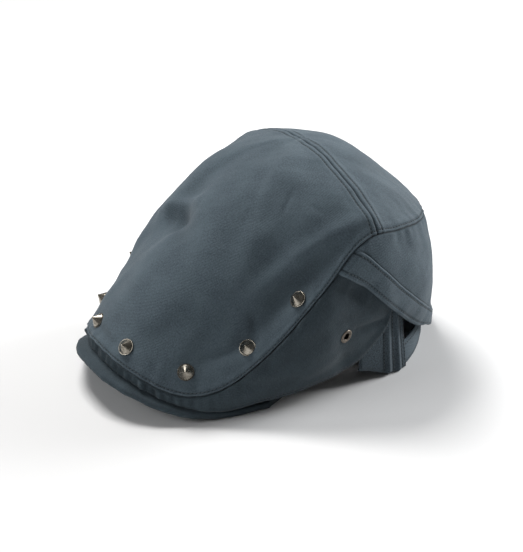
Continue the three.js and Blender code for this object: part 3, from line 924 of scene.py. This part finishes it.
class CAP_OT_top_panels(bpy.types.Operator):
    """Sew the front and rear top panels with their seams"""

    bl_idname = "cap.top_panels"
    bl_label = "Top panels"

    def execute(self, context):
        pitch = millimetres("stitch")
        front = crown_panel(-TOP_SEAM, TOP_SEAM, 250, 110)
        rear = crown_panel(TOP_SEAM, 360 - TOP_SEAM, 200, 90)
        rows = []
        for name, node, (points, normal, to_seam, to_cross, wear_and_painted_light) in (
            ("crown_front", "top_front_panel", front),
            ("crown_rear", "top_rear_panel", rear),
        ):
            piece = grid_object(name, points, wear_and_painted_light, pole=True, thickness=millimetres("cloth"))
            finish_piece(piece, "washed cotton twill", "crown_twill", node)
            rows.append(sewn_row_from_end(points, normal, to_seam, SEAM_STITCH, pitch))
            half = len(points) // 2
            for side in (slice(None), slice(None, None, -1)):
                halves = [grid[side][:half] for grid in (points, normal, to_cross)]
                near = [np.swapaxes(grid, 0, 1)[TOP_ROWS:] for grid in halves]
                rows.append(sewn_row(*near, CROSS_STITCH, pitch))
        add_thread("crown_stitches", rows, "crown_twill")
        return {"FINISHED"}


def sew_back_panel():
    """The upright back panel, gathered under the long seam and pressed flat under the hem."""
    angle = spaced(HEM_START, 360 - HEM_START, 360, 0.3)[:, None]
    bottom = place_at_height(angle, hem_top(angle) - BACK_TUCK)
    share = np.linspace(0, 1, 70)[None, :]
    points, normal = soft_cloth(angle, 1 + (bottom - 1) * share, BACK_INSET)
    down = lengths(points, 1)
    left = down[:, -1:] - down
    run = lengths(points, 0)[:, :1]
    gathers = ruffle(run, down, pitch=6.5, depth=0.35, reach=5, seed=21)
    gathers = gathers + ruffle(run, down, pitch=23, depth=0.3, reach=24, seed=22)
    clear = smooth(0, 5, left)
    relief = gathers * smooth(0, 2.5, down) * clear - bell(down, 1.0) - 0.9 * (1 - clear)
    points = points + normal * relief[..., None]
    # A paler worn edge under the seam, and painted shade in the seam's groove and where the cloth runs down
    # under the hem.
    wear_and_painted_light = 0.3 * bell(down - 1.4, 0.8) - bell(down, 0.8) - bell(left - BACK_TUCK, 1.2)
    piece = grid_object("back_cloth", points, wear_and_painted_light, thickness=millimetres("cloth"))
    finish_piece(piece, "washed cotton twill", "crown_twill", "back_panel")


def hem_cells(angle, across):
    """Angle and place of the hem's points, its ends running straight on under the long seam."""
    own = from_front(angle)
    straight = HEM_START + HEM_STRAIGHT
    held = np.maximum(own, straight)
    climb = (hem_top(straight) - hem_top(straight + 4)) / 4
    cell_angle, height = hem_below(held, across)
    cell_angle = cell_angle - (held - own)
    height = height + (held - own) * climb
    turned = np.where(angle > 180, 360 - cell_angle, cell_angle)
    past_rim = rim_point(turned[:, -1:])[..., 2] + HEM_ABOVE_RIM - height[:, -1:]
    height = height + HEM_RIM_TURN * np.logaddexp(0, past_rim / HEM_RIM_TURN) * across**2
    # Points that would rise past the long seam stay just below it, in their order.
    return turned, np.maximum(place_at_height(turned, height), 1.001 + 0.004 * across)


def sew_hem(pitch):
    """The hem band down and round the back, with a row of stitches along each edge."""
    across = spaced(0, 1, 40, 0.75)[None, :]
    angle = spaced(HEM_START - HEM_SEWN_IN, 360 - HEM_START + HEM_SEWN_IN, 420, 0.3)[:, None]
    turned, place = hem_cells(angle, across)
    points, normal = soft_cloth(turned, place)
    down = across * HEM_WIDTH + 0 * angle
    left = HEM_WIDTH - down
    run = lengths(points, 0)[:, :1]
    relief = (
        0.35
        + 1.1 * smooth(0, 0.9, down)
        - 1.5 * bell(left, 0.8)
        - 0.45 * bell(down - HEM_TOP_STITCH, 0.65)
        - 0.45 * bell(left - HEM_LOW_STITCH, 0.65)
        + ruffle(run, 0, pitch=12, depth=0.12, seed=23)
        + ruffle(run, left, pitch=19, depth=0.25, reach=12, seed=24)
    )
    clear = smooth(1.0, 1.07, place)
    relief = relief * clear - 1.1 * (1 - clear)
    points = points + normal * relief[..., None]
    # Paler worn edges, and painted shade at the lower edge, along both rows of stitches and where the ends
    # run in under the long seam.
    wear_and_painted_light = 0.5 * bell(left - 0.8) + 0.3 * bell(down - 0.8) - 0.5 * bell(left)
    wear_and_painted_light -= bell(down - HEM_TOP_STITCH, 0.45) + bell(left - HEM_LOW_STITCH, 0.45)
    wear_and_painted_light -= 0.9 * (1 - smooth(1.0, 1.03, place))
    piece = grid_object("hem_band", points, wear_and_painted_light, thickness=HEM_DRAWN)
    finish_piece(piece, "washed cotton twill", "side_twill", "back_hem_band")
    seen = from_front(angle)[:, 0] > HEM_START + HEM_STITCH_START
    cloth = (points[seen], facing(points)[seen], down[seen])
    rows = [sewn_row(*cloth, distance, pitch) for distance in (HEM_TOP_STITCH, HEM_WIDTH - HEM_LOW_STITCH)]
    add_thread("hem_stitches", rows, "side_twill")


class CAP_OT_back(bpy.types.Operator):
    """Sew the gathered back panel and its hem band"""

    bl_idname = "cap.back"
    bl_label = "Back panel and hem"

    def execute(self, context):
        sew_back_panel()
        sew_hem(millimetres("stitch"))
        return {"FINISHED"}


def square_below(angle, across=1.0):
    """Angle and height at a share of the way across the hem band, square to its upper edge."""
    radius = CROWN_WIDTH / 2
    tilt = np.arctan((hem_top(angle - 2) - hem_top(angle + 2)) / (math.radians(4) * radius))
    turned = angle - across * HEM_WIDTH * np.sin(tilt) / math.radians(radius)
    return turned, hem_top(angle) - across * HEM_WIDTH * np.cos(tilt)


def hem_below(angle, across):
    """The same, sheared so that the band's front end lies along the long seam."""
    shear = across * (HEM_LOW_START - HEM_START) * (180 - angle) / (180 - HEM_START)
    return square_below(angle + shear, across)


def hem_hidden(angle):
    """Whether the hem's lower edge would still lie above the long seam there."""
    turned, height = square_below(angle)
    return height > seam_height(turned) - GAP


HEM_LOW_START = change_over(HEM_START, 120.0, hem_hidden)
HEM_FRONT = float(square_below(HEM_LOW_START)[0])


def side_cell(angle, share):
    """A point of the side panel and its outward direction, share 0 at its top and 1 at its lower edge."""
    own = np.abs(angle)
    under = smooth(HEM_FRONT - 9, HEM_FRONT - 1, own)
    top = place_at_height(own, hem_top(own) - SIDE_TUCK)
    turn = np.clip((own - SIDE_REAR_END + SIDE_ROUND) / SIDE_ROUND, 0, 1)
    rise = (1 - np.sqrt(np.maximum(1 - turn * turn, 0))) * SIDE_END_RISE
    bottom = 2 - (2 - top) * rise
    return soft_cloth(angle, top + (bottom - top) * share, SIDE_INSET * under)


def side_relief(points, angle, down, left):
    """The side panel's relief, the gathers of its front strip alone, and the strip's share of each place."""
    own = np.abs(angle)
    run = middle_run(points)
    front = 1 - smooth(STRIP_WIDENS, STRIP_GONE, own)
    strip = ruffle(run, 0, pitch=8.5, depth=1.15, seed=31) * (0.4 + bell(own - 28, 14))
    strip = strip + ruffle(run, 0, pitch=19, depth=0.4, seed=33)
    behind = ruffle(run, down, pitch=12, depth=0.35, reach=10, seed=32) * (1 - smooth(84, 90, own))
    ends = np.minimum(angle + SIDE_REAR_END, SIDE_REAR_END - angle) * 1.5
    rolled = 1.3 * bell(left, 1.2) * (1 - front) + 0.6 * bell(left, 0.9) * front
    drawn = 0.3 * bell(left - SIDE_STITCH, 0.7) * (1 - front)
    groove = 1.1 * bell(down, 0.9) * (1 - smooth(87, 90, own))
    tucked = 0.9 * smooth(HEM_FRONT - 5, HEM_FRONT - 1, own) * bell(down, 14)
    curl = 1.6 * bell(left - 5, 5) * smooth(60, 88, own)
    relief = behind + curl - groove - rolled - drawn - tucked - bell(ends, 1.2)
    relief += strip * front * smooth(0, 3, down) * (0.5 + 0.5 * smooth(0, 4, left))
    return relief, strip, front


def drill_eyelet_hole(piece, side):
    """Cut one eyelet's hole through the side cloth."""
    bpy.ops.object.select_all(action="DESELECT")
    radius = millimetres("eyelet_hole") / 2 + HOLE_CLEARANCE
    bpy.ops.mesh.primitive_cylinder_add(vertices=40, radius=radius * MM, depth=HOLE_DEPTH * MM)
    drill = bpy.context.object
    seat_piece(drill, *eyelet_seat(side))
    add_modifier(piece, "BOOLEAN", object=drill, operation="DIFFERENCE", solver="EXACT")
    bpy.data.objects.remove(drill)


class CAP_OT_side(bpy.types.Operator):
    """Sew the side panel with its gathered strip, turned edge and eyelet holes"""

    bl_idname = "cap.side"
    bl_label = "Side panel"

    def execute(self, context):
        pitch = millimetres("stitch")
        angle = spaced(-SIDE_REAR_END, SIDE_REAR_END, 560, 0.2)[:, None]
        points, normal = side_cell(angle, spaced(0, 1, 56, 0.6)[None, :])
        down = lengths(points, 1)
        left = down[:, -1:] - down
        own = np.abs(angle)
        relief, strip, front = side_relief(points, angle, down, left)
        points = points + normal * relief[..., None]
        out = facing(points)
        # Paler worn edges, and painted shade in the groove under the seam, along the stitches and under the
        # hem's front end. The front strip is painted paler as painted light, its gathers paler on the ridges
        # and darker in the hollows as painted light and shade, and the creases hold painted shade.
        wear_and_painted_light = 0.5 * bell(left, 1.0) + 0.3 * bell(down - 1.2) - bell(down, 0.8) * (1 - smooth(87, 90, own))
        wear_and_painted_light -= 0.8 * bell(left - SIDE_STITCH, 0.45) * (1 - front)
        wear_and_painted_light -= 0.5 * bell(down, 11) * smooth(HEM_FRONT - 5, HEM_FRONT + 2, own)
        wear_and_painted_light += (0.7 + 0.8 * strip) * front + FOLD_SHADE * crease_depth(points)
        piece = grid_object("side_cloth", points, wear_and_painted_light, thickness=millimetres("cloth"))
        for side in (-1, 1):
            drill_eyelet_hole(piece, side)
        finish_piece(piece, "cotton twill in shade", "side_twill", "side_panel")
        rows = []
        for part in (angle[:, 0] < -SIDE_STITCH_START, angle[:, 0] > SIDE_STITCH_START):
            rows.append(sewn_row_from_end(points[part], out[part], left[part], SIDE_STITCH, pitch))
        add_thread("side_stitches", rows, "side_twill")
        return {"FINISHED"}


def flare(angle, height):
    """How far the soft tapes stand out from the head opening towards their lower edge."""
    near = bell(from_front(angle) - BAND_REAR, 15)
    return 4.5 * near * (1 - np.clip(height / BAND_HEIGHT, 0, 1)) ** 1.2


def tape_grid(start, end, columns, rows, low, high, out):
    """Points of an upright tape from its upper edge down, and their directions outwards."""
    angle = np.linspace(start, end, columns)[:, None]
    share = spaced(0, 1, rows, 0.6)[None, :]
    height = high + (low(angle) - high) * share
    plan = head_plan(angle + 0 * share)
    ahead = head_plan(angle + 1 + 0 * share) - plan
    away = unit(np.stack([ahead[..., 1], -ahead[..., 0]], -1))
    plan = plan + away * (out + flare(angle, height))[..., None]
    points = np.concatenate([plan, height[..., None]], -1)
    normal = np.concatenate([away, np.zeros_like(height)[..., None]], -1)
    return angle, points, normal


def band_low(angle):
    """Height of an inner band's lower edge, which rises towards the front."""
    return BAND_FRONT_RISE * smooth(BAND_REAR, BAND_FRONT, from_front(angle)) ** 2 + BAND_CLEAR


def strap_low(angle):
    """Height of the strap's lower edge, on which the cap rests."""
    return STRAP_CLEAR + 0 * angle


def sew_band(name, start, end, pitch):
    """An inner band with its ridges, and its upright rows of stitches."""
    high = BAND_HEIGHT + BAND_TUCK
    angle, points, normal = tape_grid(start, end, 170, 46, band_low, high, BAND_OUT)
    own = from_front(angle)
    run = middle_run(points)
    down = lengths(points, 1)
    left = down[:, -1:] - down
    ends = np.minimum(run, run[-1] - run)
    ridges = sum(1.5 * bell(own - stop, 1.25) for stop in BAND_RIDGES)
    relief = ridges - bell(left, 0.9) - 0.9 * bell(ends, 0.9)
    relief = relief + ruffle(run, left, pitch=14, depth=0.15, reach=16, seed=41)
    points = points + normal * relief[..., None]
    out = facing(points)
    # A paler worn edge and paler ridges, and painted shade along the rows of stitches.
    wear_and_painted_light = 0.5 * bell(left, 1.0) + 0.25 * ridges - sum(bell(own - stop, 0.4) for stop in BAND_STITCHES)
    piece = grid_object(name + "_tape", points, wear_and_painted_light, thickness=TAPE_DRAWN)
    finish_piece(piece, "cotton twill tape", "band_twill", name)
    columns = [int(np.argmin(np.abs(own[:, 0] - stop))) for stop in BAND_STITCHES]
    return [stitch_row(points[column], out[column], pitch) for column in columns]


def sew_strap(pitch):
    """The low strap behind the head, and a row of stitches along each edge."""
    end = BAND_REAR - STRAP_LAP
    _, points, normal = tape_grid(end, 360 - end, 300, 30, strap_low, STRAP_HEIGHT, -GAP)
    down = lengths(points, 1)
    left = down[:, -1:] - down
    relief = ruffle(middle_run(points), 0, pitch=18, depth=0.1, seed=42)
    wear_and_painted_light = 0.0
    # Each edge paler from wear, with painted shade along its row of stitches.
    for edge in (down, left):
        relief = relief - 0.9 * bell(edge, 0.9) - 0.3 * bell(edge - STRAP_STITCH, 0.65)
        wear_and_painted_light = wear_and_painted_light + 0.6 * bell(edge, 1.0) - bell(edge - STRAP_STITCH, 0.45)
    points = points + normal * relief[..., None]
    piece = grid_object("rear_strap", points, wear_and_painted_light, thickness=TAPE_DRAWN)
    finish_piece(piece, "washed cotton twill", "band_twill", "back_strap")
    out = facing(points)
    return [
        sewn_row(points, out, down, STRAP_STITCH, pitch),
        sewn_row_from_end(points, out, left, STRAP_STITCH, pitch),
    ]


class CAP_OT_tapes(bpy.types.Operator):
    """Sew the inner bands with their ridges and the strap behind the head"""

    bl_idname = "cap.tapes"
    bl_label = "Bands and strap"

    def execute(self, context):
        pitch = millimetres("stitch")
        rows = sew_band("inner_band_left", BAND_FRONT, BAND_REAR, pitch)
        rows += sew_band("inner_band_right", -BAND_REAR, -BAND_FRONT, pitch)
        rows += sew_strap(pitch)
        add_thread("tape_stitches", rows, "band_twill")
        return {"FINISHED"}


def peak_section():
    """Grid points of the peak, from its inner edge over the lip and back below, and the lip's own row."""
    angle = spaced(-PEAK_END, PEAK_END, 300, 0.3)
    lip_out = section("lip", angle) * LIP_REACH
    seat = rim_plan(angle, np.minimum(lip_out - PEAK_THICKNESS, -2 * CLOTH))
    inner = head_plan(angle * INNER_EDGE_TURN, CLOTH)
    low = lip_height(angle)
    radius = PEAK_THICKNESS / 2
    upper = []
    lower = []

    def add_row(plan, top, bottom):
        upper.append(np.concatenate([plan, (low + top)[:, None]], -1))
        lower.append(np.concatenate([plan, (low + bottom)[:, None]], -1))

    for turn in np.radians(np.linspace(0, 90, 9)):
        plan = rim_plan(angle, lip_out - radius * (1 - math.cos(turn)))
        rise = radius * math.sin(turn) ** 0.85
        add_row(plan, radius + rise, radius - rise)
    for share in np.linspace(0, 1, 22):
        rise = PEAK_RISE * float(smooth(0, 1.2, share))
        add_row(seat * (1 - share) + inner * share, PEAK_THICKNESS + rise, rise)
    return np.stack(upper[::-1] + lower[1:], 1), len(upper) - 1


class CAP_OT_peak(bpy.types.Operator):
    """Cover the stiff peak with cloth round its rounded lip"""

    bl_idname = "cap.peak"
    bl_label = "Peak"

    def execute(self, context):
        points, lip_row = peak_section()
        run = lengths(points, 0)[:, lip_row][:, None]
        edge = np.abs(np.arange(points.shape[1]) - lip_row)[None, :]
        relief = bell(edge, 9.0) * (0.3 * waves(points, 16, 51) + 0.12 * waves(points, 6, 52))
        relief += 0.25 * waves(points, 45, 53)
        held = smooth(0, 6, np.minimum(run, run[-1] - run))
        points = points + facing(points) * (relief * held)[..., None]
        points[..., 2] = np.maximum(points[..., 2], 0.0)
        piece = grid_object("peak_cover", points, np.exp(-edge / 6.0) + 0 * run, ring=True)
        edit_mesh(piece, close_ends)
        piece.data.shade_smooth()
        finish_piece(piece, "cotton twill in shade", "peak_twill", "peak")
        return {"FINISHED"}


def stud_point(angle):
    """Where a stud stands, beside the long seam, and its direction."""
    place = 1 - STUD_INSET / np.linalg.norm(crown_plan(angle), axis=-1)
    here, _ = soft_cloth(angle, place)
    turned = soft_cloth(angle + 2, place)[0] - soft_cloth(angle - 2, place)[0]
    along = soft_cloth(angle, place + 0.03)[0] - soft_cloth(angle, place - 0.03)[0]
    return here, unit(np.cross(along, turned))


def eyelet_seat(side):
    """Where an eyelet sits on the side panel, and its direction."""
    angle = np.array(side * EYELET_ANGLE)
    here, _ = side_cell(angle, EYELET_DROP)
    turned = side_cell(angle + 2, EYELET_DROP)[0] - side_cell(angle - 2, EYELET_DROP)[0]
    along = side_cell(angle, EYELET_DROP + 0.05)[0] - side_cell(angle, EYELET_DROP - 0.05)[0]
    return here, unit(np.cross(along, turned))


def seat_piece(piece, centre, away, lift=0.0):
    """Turn a piece's own Z axis along a direction, move it to its seat and leave it in its mesh."""
    turn = Vector((0, 0, 1)).rotation_difference(Vector(away)).to_matrix().to_4x4()
    place = Matrix.Translation(Vector(to_metres(centre + away * lift)))
    piece.data.transform(place @ turn @ piece.matrix_world)
    piece.matrix_world = Matrix.Identity(4)


def faces_at(piece, height, tolerance=0.02):
    """In edit mode, select the faces that lie flat at a height in millimetres."""
    shape = bmesh.from_edit_mesh(piece.data)
    for face in shape.faces:
        level = all(abs(vertex.co.z / MM - height) < tolerance for vertex in face.verts)
        face.select_set(level)
    bmesh.update_edit_mesh(piece.data)


def extrude_up(rise):
    """In edit mode, extrude the selected face by a rise in millimetres."""
    bpy.ops.mesh.extrude_region_move(TRANSFORM_OT_translate={"value": (0, 0, rise * MM)})


def turned_stud():
    """A cone stud as turned on a lathe, standing on the origin."""
    bpy.ops.object.select_all(action="DESELECT")
    bpy.ops.mesh.primitive_cylinder_add(
        vertices=56,
        radius=millimetres("stud") / 2 * MM,
        depth=STUD_BASE * MM,
        location=(0, 0, STUD_BASE / 2 * MM),
    )
    bpy.ops.object.transform_apply(location=True)
    pattern = bpy.context.object
    bpy.ops.object.mode_set(mode="EDIT")
    bpy.ops.mesh.select_mode(type="FACE")
    faces_at(pattern, STUD_BASE)
    bpy.ops.mesh.inset(thickness=STUD_LIP * MM)
    extrude_up(-STUD_GROOVE_DEPTH)
    bpy.ops.mesh.inset(thickness=STUD_GROOVE_WIDTH * MM)
    extrude_up(STUD_SHOULDER)
    level = STUD_BASE - STUD_GROOVE_DEPTH + STUD_SHOULDER
    cone = millimetres("stud_height") - level - sum(rise for rise, _ in STUD_TIP)
    for rise, taper in ((cone, STUD_CONE_TAPER), *STUD_TIP):
        extrude_up(rise)
        level += rise
        faces_at(pattern, level, 0.05)
        bpy.ops.transform.resize(value=(taper, taper, 1), center_override=(0, 0, level * MM))
    bpy.ops.mesh.poke()
    bpy.ops.object.mode_set(mode="OBJECT")
    add_modifier(
        pattern,
        "BEVEL",
        width=STUD_EDGE * MM,
        segments=2,
        limit_method="ANGLE",
        angle_limit=math.radians(38),
    )
    pick(pattern)
    bpy.ops.object.shade_smooth_by_angle(angle=math.radians(32))
    return pattern


class CAP_OT_studs(bpy.types.Operator):
    """Turn one cone stud and set a copy at each place along the seam"""

    bl_idname = "cap.studs"
    bl_label = "Cone studs"

    def execute(self, context):
        pattern = turned_stud()
        for number in range(STUDS_A_SIDE):
            for side, sign in (("left", 1), ("right", -1)):
                name = f"stud_{side}_{number + 1}"
                low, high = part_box(name)
                middle = np.array((low + high) / 2) / MM - np.array(SHIFT)
                centre, away = stud_point(np.array(nearest_stud_angle(middle, sign)))
                copy = pattern.copy()
                copy.data = pattern.data.copy()
                copy.name = f"cone_{side}_{number + 1}"
                context.scene.collection.objects.link(copy)
                seat_piece(copy, centre, away, STUD_LIFT)
                finish_piece(copy, "antique nickel plating", "stud_metal", name)
        bpy.data.objects.remove(pattern)
        return {"FINISHED"}


def nearest_stud_angle(middle, sign):
    """The angle at which the row of studs passes nearest to a point."""
    angles = sign * np.arange(0, 90, 0.25)
    points, _ = stud_point(angles)
    return float(angles[np.argmin(np.linalg.norm(points - middle, axis=-1))])


class CAP_OT_eyelets(bpy.types.Operator):
    """Roll the two eyelets and set them in the side panel"""

    bl_idname = "cap.eyelets"
    bl_label = "Eyelets"

    def execute(self, context):
        hole = millimetres("eyelet_hole") / 2
        rim = millimetres("eyelet") / 2
        for side, sign in (("left", 1), ("right", -1)):
            bpy.ops.object.select_all(action="DESELECT")
            bpy.ops.mesh.primitive_torus_add(
                major_segments=56,
                minor_segments=18,
                major_radius=(hole + rim) / 2 * MM,
                minor_radius=(rim - hole) / 2 * MM,
            )
            ring = context.object
            bpy.ops.object.mode_set(mode="EDIT")
            bpy.ops.mesh.select_all(action="SELECT")
            bpy.ops.transform.resize(value=(1, 1, EYELET_FLATNESS), center_override=(0, 0, 0))
            bpy.ops.object.mode_set(mode="OBJECT")
            bpy.ops.object.select_all(action="DESELECT")
            bpy.ops.mesh.primitive_cylinder_add(
                vertices=56,
                radius=(hole + BARREL_CLEARANCE) * MM,
                depth=BARREL_DEPTH * MM,
                end_fill_type="NOTHING",
                location=(0, 0, BARREL_SEAT * MM),
            )
            barrel = context.object
            bpy.ops.object.transform_apply(location=True)
            add_modifier(barrel, "SOLIDIFY", thickness=BARREL_WALL * MM, offset=-1.0)
            pick(ring, barrel)
            bpy.ops.object.join()
            bpy.ops.object.shade_smooth_by_angle(angle=math.radians(40))
            ring.name = f"ring_{side}"
            seat_piece(ring, *eyelet_seat(sign), EYELET_LIFT)
            finish_piece(ring, "aged eyelet plating", "eyelet_metal", f"eyelet_{side}")
        return {"FINISHED"}


WARM_WHITE = (1.0, 0.99, 0.98)
COOL_WHITE = (0.98, 0.99, 1.0)

# The lamps: place and size in metres, power in watts and colour. The key stands high on the wearer's
# right, the rear lamp behind the cap and the fill in front of it.
LAMPS = (
    {"name": "key", "place": (-0.7, -0.05, 1.25), "size": 0.55, "power": 21.5, "colour": WARM_WHITE},
    {"name": "rear", "place": (0.2, 1.5, 0.75), "size": 0.7, "power": 29, "colour": COOL_WHITE},
    {"name": "front_fill", "place": (-0.2, -1.5, 0.9), "size": 0.9, "power": 8.5, "colour": COOL_WHITE},
)


def add_lamp(row, target):
    """A soft square light that looks at a target."""
    lamp = bpy.data.lights.new(row["name"], "AREA")
    lamp.shape = "SQUARE"
    lamp.size = row["size"]
    lamp.energy = row["power"]
    lamp.color = row["colour"]
    holder = add_to_scene(row["name"], lamp)
    holder.location = row["place"]
    way = Vector(target) - Vector(row["place"])
    holder.rotation_euler = way.to_track_quat("-Z", "Y").to_euler()


def add_camera(target):
    """The camera at the photograph's place, looking at a target."""
    turn = math.radians(CAMERA_TURN)
    rise = math.radians(CAMERA_RISE)
    away = Vector((math.sin(turn) * math.cos(rise), -math.cos(turn) * math.cos(rise), math.sin(rise)))
    lens = bpy.data.cameras.new("camera")
    lens.sensor_width = SENSOR
    lens.lens = FOCAL_PIXELS * SENSOR / PICTURE_PIXELS
    lens.shift_x = SHIFT_ACROSS_PIXELS / PICTURE_PIXELS
    lens.shift_y = SHIFT_UP_PIXELS / PICTURE_PIXELS
    camera = add_to_scene("camera", lens)
    camera.location = target + away * CAMERA_DISTANCE
    camera.rotation_euler = (-away).to_track_quat("-Z", "Y").to_euler()
    bpy.context.scene.camera = camera


class CAP_OT_stage(bpy.types.Operator):
    """Set the pale floor, the soft lights and the camera"""

    bl_idname = "cap.stage"
    bl_label = "Floor, lights and camera"

    def execute(self, context):
        bpy.ops.object.select_all(action="DESELECT")
        bpy.ops.mesh.primitive_plane_add(size=8, location=(0, 0, 0))
        floor = context.object
        floor.name = "floor"
        floor.data.materials.append(bpy.data.materials["matt white paper"])
        middle = Vector((0.0, SHIFT.y * MM, CAMERA_HEIGHT))
        for row in LAMPS:
            add_lamp(row, middle)
        world = bpy.data.worlds.new("studio")
        world.use_nodes = True
        world.node_tree.nodes["Background"].inputs["Color"].default_value = (1, 1, 1, 1)
        world.node_tree.nodes["Background"].inputs["Strength"].default_value = 0.12
        context.scene.world = world
        add_camera(middle)
        context.scene.view_settings.view_transform = "Standard"
        return {"FINISHED"}


class CAP_PT_panel(bpy.types.Panel):
    """The cap's sizes, colours and pieces in the sidebar"""

    bl_idname = "CAP_PT_panel"
    bl_label = "Studded flat cap"
    bl_space_type = "VIEW_3D"
    bl_region_type = "UI"
    bl_category = "Cap"

    def draw(self, context):
        for group in (context.scene.cap_sizes, context.scene.cap_colours):
            for name in group.__annotations__:
                self.layout.prop(group, name)
        for operator in OPERATORS:
            self.layout.operator(operator.bl_idname)


OPERATORS = (
    CAP_OT_materials,
    CAP_OT_top_panels,
    CAP_OT_back,
    CAP_OT_side,
    CAP_OT_tapes,
    CAP_OT_peak,
    CAP_OT_studs,
    CAP_OT_eyelets,
    CAP_OT_stage,
)
CLASSES = (CapSizes, CapColours, *OPERATORS, CAP_PT_panel)


def register():
    for cls in CLASSES:
        bpy.utils.register_class(cls)
    bpy.types.Scene.cap_sizes = PointerProperty(type=CapSizes)
    bpy.types.Scene.cap_colours = PointerProperty(type=CapColours)


def unregister():
    del bpy.types.Scene.cap_colours
    del bpy.types.Scene.cap_sizes
    for cls in reversed(CLASSES):
        bpy.utils.unregister_class(cls)


def main():
    register()
    for operator in OPERATORS:
        family, name = operator.bl_idname.split(".")
        getattr(getattr(bpy.ops, family), name)()


if __name__ == "__main__":
    main()
